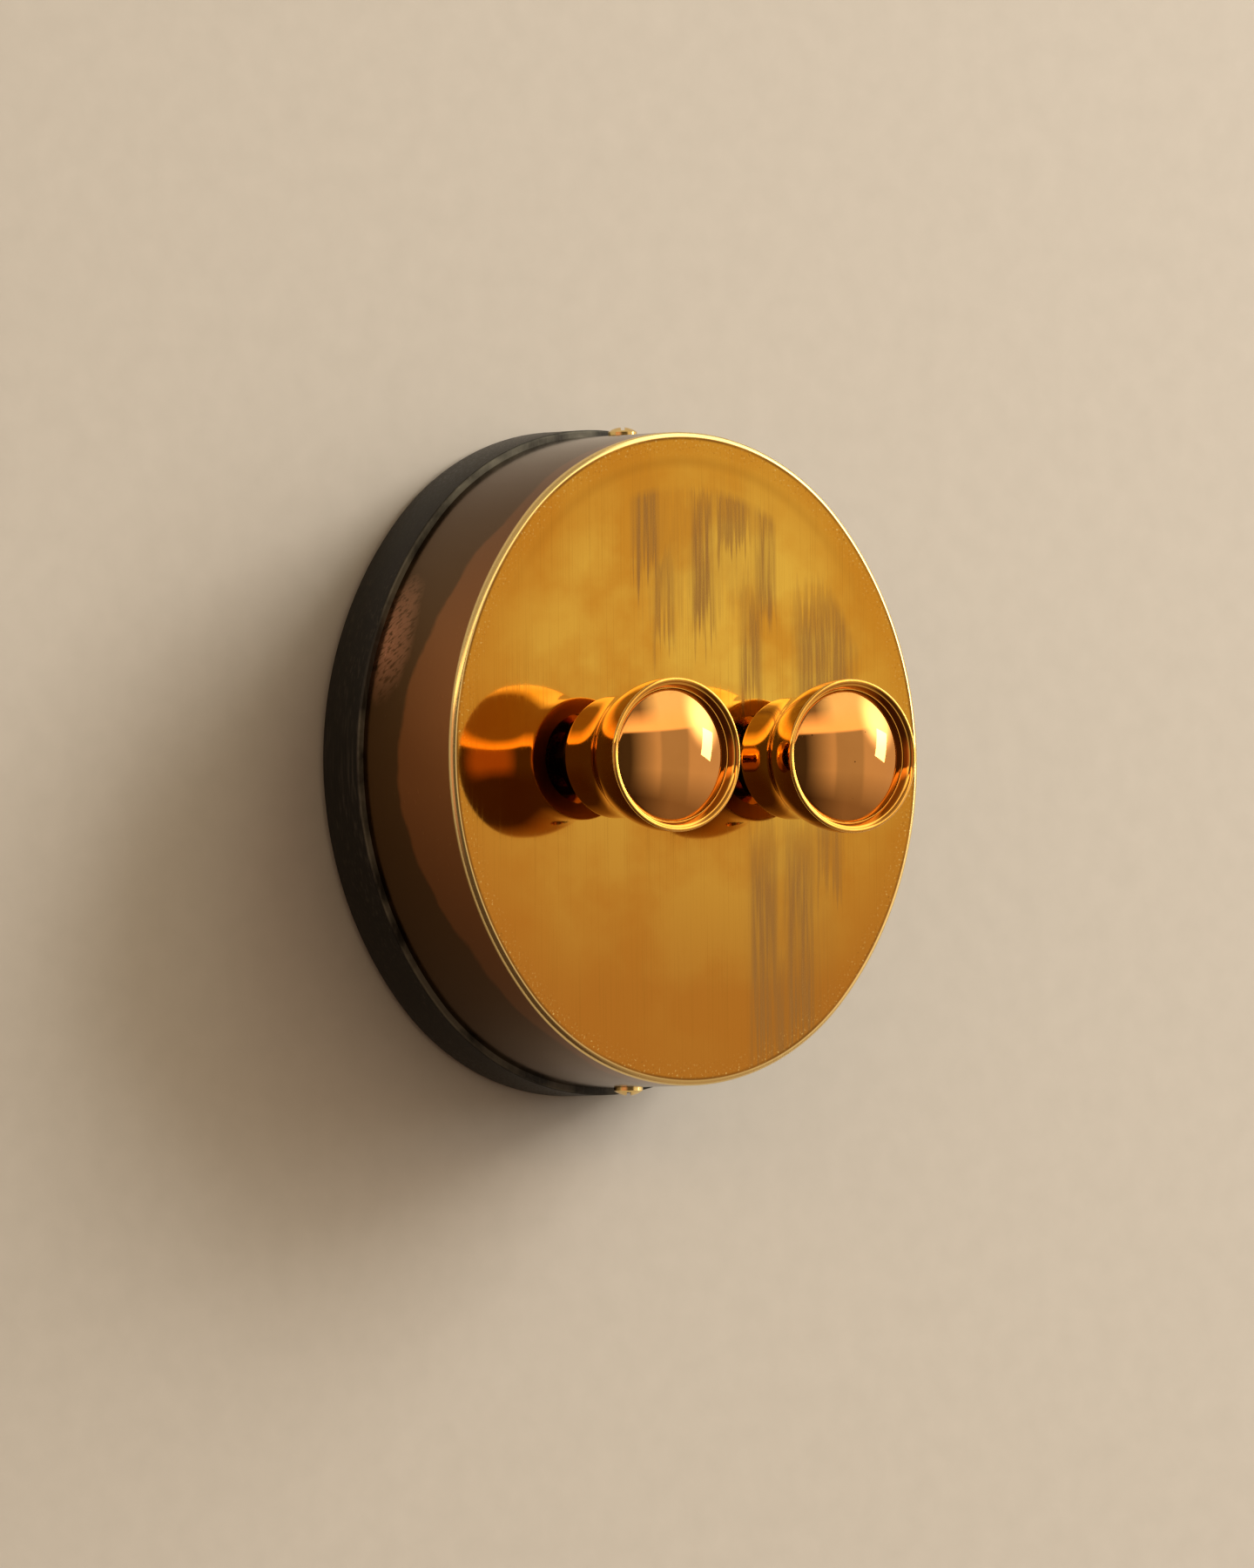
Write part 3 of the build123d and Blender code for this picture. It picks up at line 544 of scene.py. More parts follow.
def black_moulding():
    material, tree, shader = new_finish("black_moulding", 0.0, 0.42)
    shader.inputs["Specular IOR Level"].default_value = 0.22
    place = add(tree, "TexCoord", {}).outputs["Object"]
    axes = add(tree, "SeparateXYZ", {0: place})
    scale = (1 / SCRATCH_PITCH, 1 / SCRATCH_PITCH, 1 / SCRATCH_LENGTH)
    squeezed = add(tree, "Mapping", {"Vector": place, "Scale": scale})
    scratches = add(tree, "TexNoise", {"Vector": squeezed.outputs[0], "Scale": 1, "Detail": 3})
    scratches = scratches.outputs[0]
    clouds = add(tree, "TexNoise", {"Vector": place, "Scale": 1 / BASE_CLOUD, "Detail": 4})
    colour = add(tree, "Mix", {
        FACTOR: clouds.outputs[0], FROM: linear("#100F0E"), TO: linear("#191714"),
    }, data_type="RGBA")
    marks = add(tree, "MapRange", {0: scratches, 1: 0.53, 2: 0.68, 3: 0, 4: 0.4})
    # Painted highlight: the front arris is painted grey in patches, as a thin pale line
    arris = add(tree, "MapRange", {
        0: axes.outputs[1], 1: -base_front + 0.15 * MM, 2: -base_front + 0.32 * MM, 3: 1, 4: 0,
    })
    arris_patches = add(tree, "MapRange", {0: clouds.outputs[0], 1: 0.42, 2: 0.58, 3: 0.05, 4: 0.7})
    edge_rub_and_highlight = add(tree, "Math", {0: arris.outputs[0], 1: arris_patches.outputs[0]}, operation="MULTIPLY")
    for mask, tint in ((marks, "#4A463F"), (edge_rub_and_highlight, "#6B685C")):
        colour = add(tree, "Mix", {
            FACTOR: mask.outputs[0], FROM: colour.outputs[RESULT], TO: linear(tint),
        }, data_type="RGBA")
    rough = add(tree, "MapRange", {0: scratches, 1: 0.3, 2: 0.7, 3: 0.34, 4: 0.52})
    connect(tree, shader, colour.outputs[RESULT], rough.outputs[0], scratches, 0.3, 0.02 * MM)
    return material


finishes["black_moulding"] = black_moulding()
print("base front at", round(base_front / MM, 1), "mm from the wall")

# %% [markdown]
# Inside there are mouldings in black, grey and white, a laminate board, an enamelled coil
# and two cased parts. They are seen only through the cable entry. One recipe does for all:
# two close colours in clouds, and the spark-eroded grain that a mould leaves, drawn coarser
# than it is, so that it shows.

# %% Moulded and coated parts
MOULD_CLOUD = 7 * MM


def moulded(name, colours, roughness, grain):
    """A moulded surface: two close colours in clouds and an even grain."""
    material, tree, shader = new_finish(name, 0.0, roughness)
    place = add(tree, "TexCoord", {}).outputs["Object"]
    clouds = add(tree, "TexNoise", {"Vector": place, "Scale": 1 / MOULD_CLOUD, "Detail": 4})
    colour = add(tree, "Mix", {
        FACTOR: clouds.outputs[0], FROM: linear(colours[0]), TO: linear(colours[1]),
    }, data_type="RGBA")
    grit = add(tree, "TexNoise", {"Vector": place, "Scale": 1 / grain, "Detail": 2}).outputs[0]
    rough = add(tree, "MapRange", {
        0: grit, 1: 0.3, 2: 0.7, 3: roughness * 0.85, 4: roughness * 1.2,
    })
    connect(tree, shader, colour.outputs[RESULT], rough.outputs[0], grit, 0.3, 0.02 * MM)
    return material


MOULDINGS = {
    "case_moulding": (("#2E2E31", "#242427"), 0.5, 0.25 * MM),
    "grey_moulding": (("#6E7478", "#5E6468"), 0.45, 0.3 * MM),
    "nylon_white": (("#DEDCD3", "#CFCCC0"), 0.4, 0.4 * MM),
    "board_laminate": (("#2E6B3A", "#255A31"), 0.45, 0.6 * MM),
    "choke_winding": (("#A8552A", "#8C4320"), 0.3, 0.5 * MM),
    "capacitor_case": (("#B98A2C", "#A87A22"), 0.35, 0.5 * MM),
    "triac_case": (("#232325", "#1B1B1D"), 0.5, 0.3 * MM),
}
for name, values in MOULDINGS.items():
    finishes[name] = moulded(name, *values)
for node, slot in slots.items():
    carrier = node.rsplit("_", 1)
    finish = side_finishes.get(tuple(carrier)) or finishes[slot]
    nodes[node].data.materials.clear()
    nodes[node].data.materials.append(finish)
print("mouldings:", len(MOULDINGS), "nodes dressed:", len(slots))

# %% [markdown]
# A turned part starts as a line drawn with two moves. One pulls a vertex straight on with
# extrude, the other swings it round a centre with spin. Both work in the plane of radius
# and height, where height is the distance in front of the wall, so an outline is a list of
# moves with the sizes of a drawing. One more spin, round the knob's axis, makes it a solid.

# %% The pen and the lathe
def line_to(bm, last, radius, height, parts=1):
    """Pull the outline straight to a new point, in equal parts."""
    start = last.co.copy()
    end = Vector((radius, -height, 0))
    for n in range(parts):
        last = bmesh.ops.extrude_vert_indiv(bm, verts=[last])["verts"][0]
        last.co = start.lerp(end, (n + 1) / parts)
    return last


def arc_to(bm, last, radius, height, angle, parts):
    """Swing the outline round a centre; a positive angle turns from outwards to forwards."""
    spun = bmesh.ops.spin(
        bm, geom=[last], cent=(radius, -height, 0), axis=(0, 0, -1), angle=angle, steps=parts
    )
    return next(v for v in spun["geom_last"] if isinstance(v, bmesh.types.BMVert))


def draw_outline(bm, radius, height, moves):
    """Draw from a first point. A line is a radius and height; an arc adds angle and parts."""
    last = bm.verts.new((radius, -height, 0))
    for move in moves:
        last = (arc_to if len(move) == 4 else line_to)(bm, last, *move)


def turn_on_lathe(bm, steps):
    """Spin the outline right round the Y axis."""
    bmesh.ops.spin(
        bm, geom=bm.verts[:] + bm.edges[:], cent=(0, 0, 0), axis=(0, 1, 0),
        angle=2 * pi, steps=steps, use_merge=True,
    )
    bmesh.ops.remove_doubles(bm, verts=bm.verts, dist=0.0005 * MM)
    bmesh.ops.recalc_face_normals(bm, faces=bm.faces)


def soften_ring(bm, radius, height, width):
    """Round the circular edge at a radius and height."""
    ring = [
        edge for edge in bm.edges
        if all(
            abs(hypot(v.co.x, v.co.z) - radius) < 0.002 * MM and abs(v.co.y + height) < 0.002 * MM
            for v in edge.verts
        )
    ]
    bmesh.ops.bevel(
        bm, geom=ring, offset=width, segments=3, profile=0.5, affect="EDGES", material=-1
    )
    return len(ring)


print("pen and lathe ready")

# %% [markdown]
# Every new piece ends the same way. Its mesh becomes an object at the origin, smooth with
# its real edges left sharp. It rides on the body that the node it stands for rides on, and
# takes that node's finish. A cutter can make a hole first, with an exact Boolean that is
# applied at once, so that no modifier is left live.

# %% Finishing a piece
SMOOTH_ANGLE = radians(30)
bodies = frame["record"]["behaviour"]["bodies"]
node_body = {node: body for body, members in bodies.items() for node in members}


def mesh_object(bm, name):
    """A plain object from a bmesh, at the origin."""
    mesh = bpy.data.meshes.new(name)
    bm.to_mesh(mesh)
    bm.free()
    piece = bpy.data.objects.new(name, mesh)
    bpy.context.scene.collection.objects.link(piece)
    return piece


def cut(piece, cutter_bm):
    """Cut a hole with a second mesh, and apply the cut."""
    cutter = mesh_object(cutter_bm, piece.name + "_cutter")
    boolean = piece.modifiers.new("hole", "BOOLEAN")
    boolean.object = cutter
    boolean.operation = "DIFFERENCE"
    boolean.solver = "EXACT"
    apply_modifiers(piece)
    bpy.data.objects.remove(cutter)


def apply_modifiers(piece):
    """Swap the mesh for what its modifiers make of it."""
    bpy.context.view_layer.update()
    shown = piece.evaluated_get(bpy.context.evaluated_depsgraph_get())
    mesh = bpy.data.meshes.new_from_object(shown)
    piece.modifiers.clear()
    piece.data = mesh


def finish_piece(piece, node):
    """Give a piece its smooth shading, its finish and its body, and hide the node it stands for."""
    piece.data.shade_smooth()
    piece.data.set_sharp_from_angle(angle=SMOOTH_ANGLE)
    piece.data.materials.clear()
    piece.data.materials.append(nodes[node].data.materials[0])
    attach(piece, node_body[node])
    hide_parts(node)
    return len(piece.data.polygons)


def bar(radius, length, centre, axis, steps=32):
    """A round bar with its middle at a point, along a unit axis."""
    bm = bmesh.new()
    bmesh.ops.create_cone(
        bm, cap_ends=True, segments=steps, radius1=radius, radius2=radius, depth=length
    )
    turned = Vector((0, 0, 1)).rotation_difference(Vector(axis)).to_matrix()
    bmesh.ops.rotate(bm, verts=bm.verts, matrix=turned)
    bmesh.ops.translate(bm, verts=bm.verts, vec=centre)
    return bm


print("bodies:", sorted(set(node_body.values())))

# %% [markdown]
# The cup is drawn from sheet: an oval wall, a small round edge and a flat face. Its outline
# is four arcs that meet in line, two for the sides and two for the ends, and each arc is a
# vertex swung round its own centre. Drawing the same outline a little further in gives the
# next ring, which keeps the round edge even all the way, as scaling wouldn't. Bridging ring
# to ring makes the wall. The face is filled between the last ring and the two bush holes,
# with one narrow ring of flat faces beside the round edge, so that the face mirrors as a
# true plane. The narrow rim at the open back is filled too, between its two rings.

# %% The cup
EDGE_STEPS = 10
WALL = 1.2 * MM
BUSH_HOLE = 4.65 * MM
SCREW_HOLE = 1.7 * MM
RING_SPACING = 1.2 * MM
FLAT_MARGIN = 0.06 * MM


def oval_ring(bm, inset, height):
    """The cup's outline as a loop of edges, drawn in by an amount."""
    side, end = ARC_MEETING, pi - 2 * ARC_MEETING
    arcs = (
        (-side_offset, 0, side), (0, end_offset, end), (side_offset, 0, 2 * side),
        (0, -end_offset, end), (-side_offset, 0, side),
    )
    before = set(bm.edges)
    last = bm.verts.new((half_width - inset, -height, 0))
    for x, z, angle in arcs:
        parts = 2 * round(angle * half_width / RING_SPACING / 2)
        spun = bmesh.ops.spin(
            bm, geom=[last], cent=(x, -height, z), axis=(0, -1, 0), angle=angle, steps=parts
        )
        last = next(v for v in spun["geom_last"] if isinstance(v, bmesh.types.BMVert))
    ring = [edge for edge in bm.edges if edge not in before]
    touching = {v for edge in ring for v in edge.verts}
    bmesh.ops.remove_doubles(bm, verts=list(touching), dist=0.001 * MM)
    return [edge for edge in bm.edges if edge not in before]


def circle_ring(bm, radius, x, height, steps=64):
    """A circle round a knob's axis, as a loop of edges."""
    place = Matrix.Translation((x, -height, 0)) @ Matrix.Rotation(pi / 2, 4, "X")
    made = bmesh.ops.create_circle(bm, segments=steps, radius=radius, matrix=place)
    return list({edge for v in made["verts"] for edge in v.link_edges})


def make_cup():
    bm = bmesh.new()
    inner_face = front - WALL
    outline = [(0, back), (0, front - EDGE_RADIUS)]
    for n in range(1, EDGE_STEPS + 1):
        angle = n / EDGE_STEPS * pi / 2
        outline.append((EDGE_RADIUS * (1 - cos(angle)), front - EDGE_RADIUS * (1 - sin(angle))))
    outline.append((EDGE_RADIUS + FLAT_MARGIN, front))
    rings = [oval_ring(bm, *point) for point in outline]
    for outer, inner in zip(rings, rings[1:]):
        bmesh.ops.bridge_loops(bm, edges=outer + inner)
    inside = [oval_ring(bm, WALL, back), oval_ring(bm, WALL, inner_face)]
    bmesh.ops.bridge_loops(bm, edges=inside[0] + inside[1])
    outer_holes, inner_holes = (
        [circle_ring(bm, BUSH_HOLE, sign * knob_x, height) for sign in SIDES.values()]
        for height in (front, inner_face)
    )
    for outer, inner in zip(outer_holes, inner_holes):
        bmesh.ops.bridge_loops(bm, edges=outer + inner)
    face = rings[-1] + sum(outer_holes, [])
    face_inside = inside[1] + sum(inner_holes, [])
    rim = rings[0] + inside[0]
    for edges in (face, face_inside, rim):
        bmesh.ops.triangle_fill(bm, use_beauty=True, use_dissolve=False, edges=edges)
    bmesh.ops.recalc_face_normals(bm, faces=bm.faces)
    return mesh_object(bm, "brass_cup")


cup = make_cup()
screw_low, screw_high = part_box("cover_screw_top")
screw_height = -(screw_low.y + screw_high.y) / 2
cut(cup, bar(SCREW_HOLE, 3 * half_height, (0, -screw_height, 0), (0, 0, 1)))
print("cup faces:", finish_piece(cup, "cover"))

# %% [markdown]
# A knob is turned from brass bar. From the back it is a short barrel, then a flare of two
# equal arcs that ends in a thin rolled lip. Inside the lip the dish steps down twice before
# the dome, and those two little ledges are what draw the fine bright rings round the dome.
# Their edges are rounded by half a tenth of a millimetre, because a dead sharp edge catches
# no light.
# The back has a recess over the nut and a bore for the spindle, and a screw hole underneath.

# %% The knobs
BARREL_RADIUS = 10.3 * MM
BARREL_LENGTH = 3.7 * MM
RIM_RADIUS = 12.95 * MM
RIM_LENGTH = 0.6 * MM
LIP_RADIUS = 0.4 * MM
BACK_EDGE = 0.3 * MM
RECESS_RADIUS = 7.6 * MM
RECESS_DEPTH = 2.0 * MM
BORE_RADIUS = 3.03 * MM
BORE_DEPTH = 12.0 * MM
LEDGE_EDGE = 0.05 * MM
POCKET_RADIUS = 11.16 * MM
POCKET_TOP = 1.65 * MM
POCKET_FLOOR = 3.45 * MM
# Each ledge in the dish: its outer radius, its inner radius and its depth under the lip
DISH_LEDGES = ((11.95 * MM, 11.83 * MM, 0.5 * MM), (11.3 * MM, POCKET_RADIUS, POCKET_TOP))
GRUB_HOLE = 1.55 * MM
LATHE_STEPS = 160


def make_knob(side):
    bm = bmesh.new()
    flare_start = knob_back + BARREL_LENGTH
    rim_start = knob_front - LIP_RADIUS - RIM_LENGTH
    lip_base = knob_front - LIP_RADIUS
    reach = RIM_RADIUS - BARREL_RADIUS
    length = rim_start - flare_start
    flare_radius = (length ** 2 + reach ** 2) / (4 * reach)
    flare_angle = 2 * atan(reach / length)

    moves = [
        (BORE_RADIUS, knob_back + BORE_DEPTH),
        (BORE_RADIUS, knob_back + RECESS_DEPTH, 3),
        (RECESS_RADIUS, knob_back + RECESS_DEPTH),
        (RECESS_RADIUS, knob_back),
        (BARREL_RADIUS - BACK_EDGE, knob_back, 3),
        (BARREL_RADIUS - BACK_EDGE, knob_back + BACK_EDGE, pi / 2, 4),
        (BARREL_RADIUS, flare_start, 6),
        (BARREL_RADIUS + flare_radius, flare_start, -flare_angle, 16),
        (RIM_RADIUS - flare_radius, rim_start, flare_angle, 16),
        (RIM_RADIUS, lip_base, 3),
        (RIM_RADIUS - LIP_RADIUS, lip_base, pi, 12),
    ]
    for outer, inner, depth in DISH_LEDGES:
        moves += [(outer, knob_front - depth, 3), (inner, knob_front - depth)]
    floor = knob_front - POCKET_FLOOR
    moves += [(POCKET_RADIUS, floor), (0, floor)]
    draw_outline(bm, 0, knob_back + BORE_DEPTH, moves)
    turn_on_lathe(bm, LATHE_STEPS)
    softened = sum(
        soften_ring(bm, inner, knob_front - depth, LEDGE_EDGE)
        for outer, inner, depth in DISH_LEDGES
    )
    bmesh.ops.translate(bm, verts=bm.verts, vec=(SIDES[side] * knob_x, 0, 0))
    knob = mesh_object(bm, "turned_knob_" + side)
    grub_low, grub_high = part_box("grub_screw_" + side)
    grub_y = (grub_low.y + grub_high.y) / 2
    middle = (SIDES[side] * knob_x, grub_y, -RIM_RADIUS / 2)
    cut(knob, bar(GRUB_HOLE, RIM_RADIUS, middle, (0, 0, 1)))
    print("ledge edges softened:", softened, "knob faces:", finish_piece(knob, "knob_" + side))


for side in SIDES:
    make_knob(side)

# %% [markdown]
# The dome in each dish is a shallow cap of a sphere, polished until it mirrors the whole
# room. One arc gives it, and enough steps keep the mirror clean: a reflection bends twice
# as much as the surface does, so every facet would show.

# %% The domes
DOME_RADIUS = 11.1 * MM
DOME_CHAMFER = 0.15 * MM
DOME_STEPS = 40


def make_dome(side):
    low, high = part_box("knob_dome_" + side)
    apex, seat = -low.y, -high.y
    edge = knob_front - POCKET_TOP
    rim = DOME_RADIUS - DOME_CHAMFER
    rise = apex - edge
    sphere = (rim ** 2 + rise ** 2) / (2 * rise)
    sweep = 2 * atan(rise / rim)
    bm = bmesh.new()
    draw_outline(bm, 0, seat, (
        (DOME_RADIUS, seat), (DOME_RADIUS, edge - DOME_CHAMFER), (rim, edge),
        (0, apex - sphere, sweep, DOME_STEPS),
    ))
    turn_on_lathe(bm, LATHE_STEPS)
    bmesh.ops.translate(bm, verts=bm.verts, vec=(SIDES[side] * knob_x, 0, 0))
    dome = mesh_object(bm, "polished_dome_" + side)
    print("dome rises", round(rise / MM, 2), "mm, faces:", finish_piece(dome, "knob_dome_" + side))


for side in SIDES:
    make_dome(side)

# %% [markdown]
# Two round-headed brass screws hold the cup, one in its top and one in its bottom. The head
# is a low crown on a short straight edge, turned on the same lathe, stood upright and then
# slotted with a cutter. The slot isn't square to the cup, as no slot ends up square when a
# screw is driven home.

# %% The cover screws
HEAD_RADIUS = 2.45 * MM
HEAD_HEIGHT = 1.4 * MM
HEAD_EDGE = 0.55 * MM
SHANK_RADIUS = 1.5 * MM
SHANK_LENGTH = 8.6 * MM
SLOT_WIDTH = 0.7 * MM
SLOT_DEPTH = 0.6 * MM
SLOT_TURN = radians(58)
CROWN_STEPS = 12
SCREW_STEPS = 48


def make_cover_screw(name, end):
    """A screw in the cup's top, end 1, or in its bottom, end -1."""
    crown = HEAD_HEIGHT - HEAD_EDGE
    sphere = (HEAD_RADIUS ** 2 + crown ** 2) / (2 * crown)
    bm = bmesh.new()
    draw_outline(bm, 0, -SHANK_LENGTH, (
        (SHANK_RADIUS, -SHANK_LENGTH), (SHANK_RADIUS, 0),
        (HEAD_RADIUS, 0), (HEAD_RADIUS, HEAD_EDGE),
        (0, HEAD_HEIGHT - sphere, 2 * atan(crown / HEAD_RADIUS), CROWN_STEPS),
    ))
    turn_on_lathe(bm, SCREW_STEPS)
    upright = Matrix.Rotation(-pi / 2 * end, 3, "X")
    bmesh.ops.rotate(bm, verts=bm.verts, matrix=upright)
    seat = Vector((0, -screw_height, end * half_height))
    bmesh.ops.translate(bm, verts=bm.verts, vec=seat)
    screw = mesh_object(bm, "slotted_" + name)
    slot_bm = bmesh.new()
    bmesh.ops.create_cube(slot_bm, size=1)
    slot_size = (4 * HEAD_RADIUS, SLOT_WIDTH, 2 * SLOT_DEPTH)
    bmesh.ops.scale(slot_bm, verts=slot_bm.verts, vec=slot_size)
    bmesh.ops.rotate(slot_bm, verts=slot_bm.verts, matrix=Matrix.Rotation(SLOT_TURN, 3, "Z"))
    top = seat + Vector((0, 0, end * HEAD_HEIGHT))
    bmesh.ops.translate(slot_bm, verts=slot_bm.verts, vec=top)
    cut(screw, slot_bm)
    print(name, "faces:", finish_piece(screw, name))


make_cover_screw("cover_screw_top", 1)
make_cover_screw("cover_screw_bottom", -1)

# %% [markdown]
# The ring and the parts seen through the cable entry keep the shape of their solids, but a
# solid's edges are dead sharp, and a moulding or a stamped plate never is. A copy of the
# mesh is merged and its flat faces are joined up. Then a narrow Bevel modifier rounds every
# real edge, and it is applied. The solid itself stays as it is, hidden behind its copy.

# %% Softened copies of the solids
FLAT_ANGLE = radians(0.6)
EDGE_ANGLE = radians(35)


def soften_node(node, name, width, segments=2):
    """A copy of a node's mesh with its edges rounded."""
    bm = bmesh.new()
    bm.from_mesh(nodes[node].data)
    bmesh.ops.remove_doubles(bm, verts=bm.verts, dist=0.001 * MM)
    bmesh.ops.dissolve_limit(
        bm, angle_limit=FLAT_ANGLE, verts=bm.verts, edges=bm.edges, use_dissolve_boundaries=False
    )
    piece = mesh_object(bm, name)
    bevel = piece.modifiers.new("edges", "BEVEL")
    bevel.width = width
    bevel.segments = segments
    bevel.limit_method = "ANGLE"
    bevel.angle_limit = EDGE_ANGLE
    apply_modifiers(piece)
    return finish_piece(piece, node)


BASE_EDGE = 0.12 * MM
EARTH_EDGE = 0.1 * MM
SOFT_EDGES = {
    "dimmer_case": 0.3 * MM, "heat_plate": 0.15 * MM, "terminal_block": 0.2 * MM,
    "terminal_screws": 0.08 * MM, "terminal_clamps": 0.1 * MM, "plate_screws": 0.08 * MM,
}
print("base faces:", soften_node("base", "moulded_base", BASE_EDGE))
for node, width in SOFT_EDGES.items():
    for side in SIDES:
        soften_node(node + "_" + side, "soft_" + node + "_" + side, width)
for node in ("earth_terminal", "earth_screw"):
    soften_node(node, "soft_" + node, EARTH_EDGE)
print("softened copies:", 3 + 2 * len(SOFT_EDGES))

# %% [markdown]
# The part hangs on a plain pale wall. The wall has one side only: seen from behind it is
# clear, and it is open behind the base, so that the back of the part can be looked at and
# has light on it too. The opening is a little smaller than the cup, so that no light comes
# round the base from behind. A mirror shows the room, so the room is plain but not empty: a
# soft ceiling of light, a darker, warm floor, and walls that are brighter on the right than
# on the left. A large soft box up on the right throws the shadow down to the left, and a tall
# one beside it draws the window on each dome.

# %% The wall
WALL_SPAN = 4.0
WALL_GAP = 0.3 * MM
WALL_OVERLAP = 1.0 * MM
WALL_GRAIN = 5 * MM


def stage_surface():
    material, tree, shader = new_finish("pale_plaster", 0.0, 0.8)
    place = add(tree, "TexCoord", {}).outputs["Object"]
    grain = add(tree, "TexNoise", {"Vector": place, "Scale": 1 / WALL_GRAIN, "Detail": 4})
    colour = add(tree, "Mix", {
        FACTOR: grain.outputs[0], FROM: linear("#ADA8A0"), TO: linear("#B6B1A9"),
    }, data_type="RGBA")
    tree.links.new(colour.outputs[RESULT], shader.inputs["Base Color"])
    side = add(tree, "NewGeometry", {}).outputs["Backfacing"]
    clear = add(tree, "BsdfTransparent", {})
    either = add(tree, "MixShader", {0: side, 1: shader.outputs[0], 2: clear.outputs[0]})
    tree.links.new(either.outputs[0], tree.nodes["Material Output"].inputs["Surface"])
    return material


def make_wall():
    bm = bmesh.new()
    opening = oval_ring(bm, WALL_OVERLAP, -WALL_GAP)
    facing = Matrix.Translation((0, WALL_GAP, 0)) @ Matrix.Rotation(pi / 2, 4, "X")
    reach = WALL_SPAN * cos(pi / 4)
    corners = bmesh.ops.create_circle(bm, segments=4, radius=reach, matrix=facing)
    border = list({edge for v in corners["verts"] for edge in v.link_edges})
    bmesh.ops.triangle_fill(bm, use_beauty=True, use_dissolve=False, edges=opening + border)
    # All faces look forwards, towards the room
    for face in bm.faces:
        if face.normal.y > 0:
            face.normal_flip()
    wall = mesh_object(bm, "pale_wall")
    wall.data.materials.append(stage_surface())
    wall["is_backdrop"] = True
    return wall


wall_faces = make_wall().data.polygons
print("wall faces:", len(wall_faces), "normal", tuple(round(c) for c in wall_faces[0].normal))

# %% The room
# The levels of the room in linear light, where 1 is white
WALL_LEFT = (0.7, 0.36, 0.24, 1)
WALL_DARK = (0.12, 0.09, 0.06, 1)
WALL_BRIGHT = (1.2, 0.98, 0.74, 1)
PANEL = (0.9, 0.76, 0.58, 1)
FLOOR_DARK = (0.09, 0.055, 0.035, 1)
FLOOR_BRIGHT = (0.5, 0.36, 0.24, 1)
CORNICE = (2.9, 2.1, 1.3, 1)
CEILING_DARK = (0.48, 0.38, 0.27, 1)
CEILING_BRIGHT = (2.3, 2.2, 1.7, 1)
GLOW = (7.0, 6.6, 5.8, 1)
# The walls from left to right: where each change starts and ends, and the colour after it.
# The panel is what the flat face mirrors.
WALL_CHANGES = (
    (-0.85, -0.62, WALL_DARK), (0.02, 0.33, WALL_BRIGHT), (0.36, 0.39, PANEL),
    (0.66, 0.69, WALL_BRIGHT),
)
GLOW_WAY = Vector((0.81, -0.5, 0.3)).normalized()


def make_room():
    world = bpy.data.worlds.new("soft_room")
    bpy.context.scene.world = world
    world.use_nodes = True
    tree = world.node_tree
    way = add(tree, "TexCoord", {}).outputs["Generated"]
    axes = add(tree, "SeparateXYZ", {0: way})
    rightward, upward = axes.outputs[0], axes.outputs[2]

    def blend(value, start, end, before, after):
        """Go from one colour to the next while a value runs from start to end."""
        part = add(tree, "MapRange", {0: value, 1: start, 2: end, 3: 0, 4: 1})
        return add(tree, "Mix", {
            FACTOR: part.outputs[0], FROM: before, TO: after,
        }, data_type="RGBA").outputs[RESULT]

    walls = WALL_LEFT
    for start, end, colour in WALL_CHANGES:
        walls = blend(rightward, start, end, walls, colour)
    floor = blend(rightward, 0.1, 0.5, FLOOR_DARK, FLOOR_BRIGHT)
    walls = blend(upward, -0.12, -0.4, walls, floor)
    ceiling = blend(rightward, 0.18, 0.4, CEILING_DARK, CEILING_BRIGHT)
    ceiling = blend(upward, 0.3, 0.46, CORNICE, ceiling)
    room = blend(upward, 0.235, 0.26, walls, ceiling)
    # The ceiling is brightest over the window, and that patch fades out all round
    away = add(tree, "VectorMath", {0: way, 1: GLOW_WAY}, operation="DISTANCE").outputs["Value"]
    glow = add(tree, "MapRange", {
        0: away, 1: 0.3, 2: 0.03, 3: 0, 4: 1,
    }, interpolation_type="SMOOTHERSTEP")
    room = add(tree, "Mix", {
        FACTOR: glow.outputs[0], FROM: room, TO: GLOW,
    }, data_type="RGBA").outputs[RESULT]
    tree.links.new(room, tree.nodes["Background"].inputs["Color"])
    return world


make_room()
print("brightest towards", [round(c, 2) for c in GLOW_WAY])

# %% The soft boxes
KEY_PLACE = Vector((0.74, -0.44, 0.51)).normalized() * 1.7
KEY_SIZE = (0.8, 0.8)
KEY_WATTS = 36
WINDOW_PLACE = (1.35, -0.9, 0.17)
WINDOW_SIZE = (0.24, 0.36)
WINDOW_WATTS = 2.2
WINDOW_LEAN = radians(-20)


def soft_box(name, place, size, watts, colour, mirrored=True, lean=0.0):
    """A rectangular lamp that faces the part, and leans to one side by an angle."""
    lamp = bpy.data.lights.new(name, "AREA")
    lamp.shape = "RECTANGLE"
    lamp.size, lamp.size_y = size
    lamp.energy = watts
    lamp.color = linear(colour)[:3]
    box = bpy.data.objects.new(name, lamp)
    bpy.context.scene.collection.objects.link(box)
    box.location = place
    facing = (Vector((0, -front, 0)) - Vector(place)).to_track_quat("-Z", "Y").to_matrix()
    box.rotation_euler = (facing @ Matrix.Rotation(lean, 3, "Z")).to_euler()
    box.visible_camera = False
    box.visible_glossy = mirrored
    return box


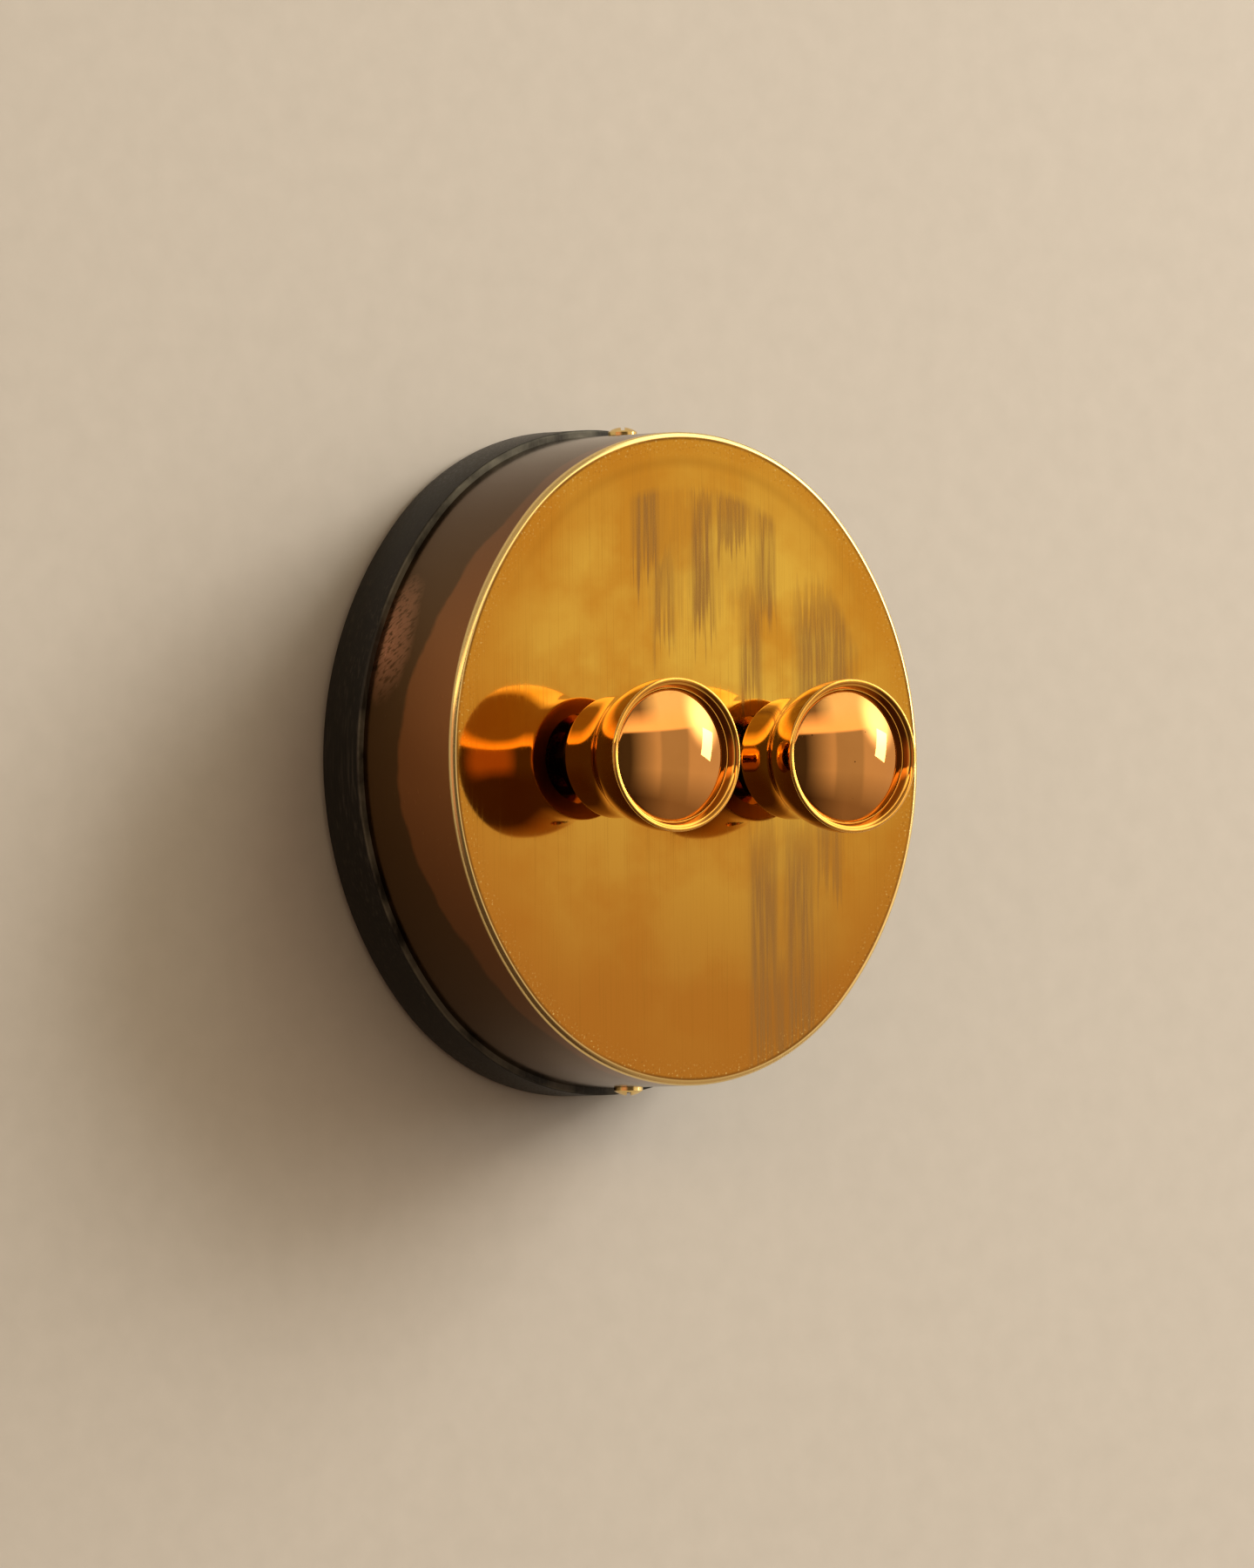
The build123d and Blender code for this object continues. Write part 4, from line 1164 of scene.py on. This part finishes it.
key = soft_box("key_box", KEY_PLACE, KEY_SIZE, KEY_WATTS, "#FFF9F2", mirrored=False)
soft_box("window_box", WINDOW_PLACE, WINDOW_SIZE, WINDOW_WATTS, "#FFFDF8", lean=WINDOW_LEAN)
print("key lamp at", [round(c, 2) for c in key.location])

# %% [markdown]
# The picture was taken from far off, a little to the left and almost level, so the camera
# stands five metres away with a very long lens, and is turned until the middle of the face
# falls where it does in the picture. No lens shift is needed.

# %% The camera
IMAGE_WIDTH, IMAGE_HEIGHT = 1440, 1800
PIXELS_PER_METRE = 6827
DISTANCE = 5.0
AZIMUTH = radians(-34.64)
ELEVATION = radians(-1.38)
ROLL = radians(-0.516)
FACE_PIXEL = (788.6, 870.9)
SENSOR = 36.0


def make_camera():
    focal = PIXELS_PER_METRE * DISTANCE
    away = Vector((sin(AZIMUTH) * cos(ELEVATION), -cos(AZIMUTH) * cos(ELEVATION), sin(ELEVATION)))
    face = Vector((0, -front, 0))
    level = (-away).to_track_quat("-Z", "Y").to_matrix()
    rolled = level @ Matrix.Rotation(ROLL, 3, "Z")
    # The face's middle lies off the axis: turn the camera until the ray to it is that far off
    ray = Vector((FACE_PIXEL[0] - IMAGE_WIDTH / 2, IMAGE_HEIGHT / 2 - FACE_PIXEL[1], -focal))
    swing = ray.rotation_difference(Vector((0, 0, -1))).to_matrix()
    data = bpy.data.cameras.new("camera")
    data.sensor_width = SENSOR
    data.lens = focal * SENSOR / IMAGE_HEIGHT
    data.clip_start, data.clip_end = 0.5, 50
    camera = bpy.data.objects.new("camera", data)
    bpy.context.scene.collection.objects.link(camera)
    camera.matrix_world = Matrix.Translation(face + away * DISTANCE) @ (rolled @ swing).to_4x4()
    bpy.context.scene.camera = camera
    return camera


camera = make_camera()
bpy.context.scene.view_settings.view_transform = "Standard"
print("lens", round(camera.data.lens), "mm")

# %% Sizes and the end
visual_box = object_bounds()
for name, (low, high) in (("solids", cad_box), ("dressed", visual_box)):
    print(name, [round(size / MM, 2) for size in high - low])
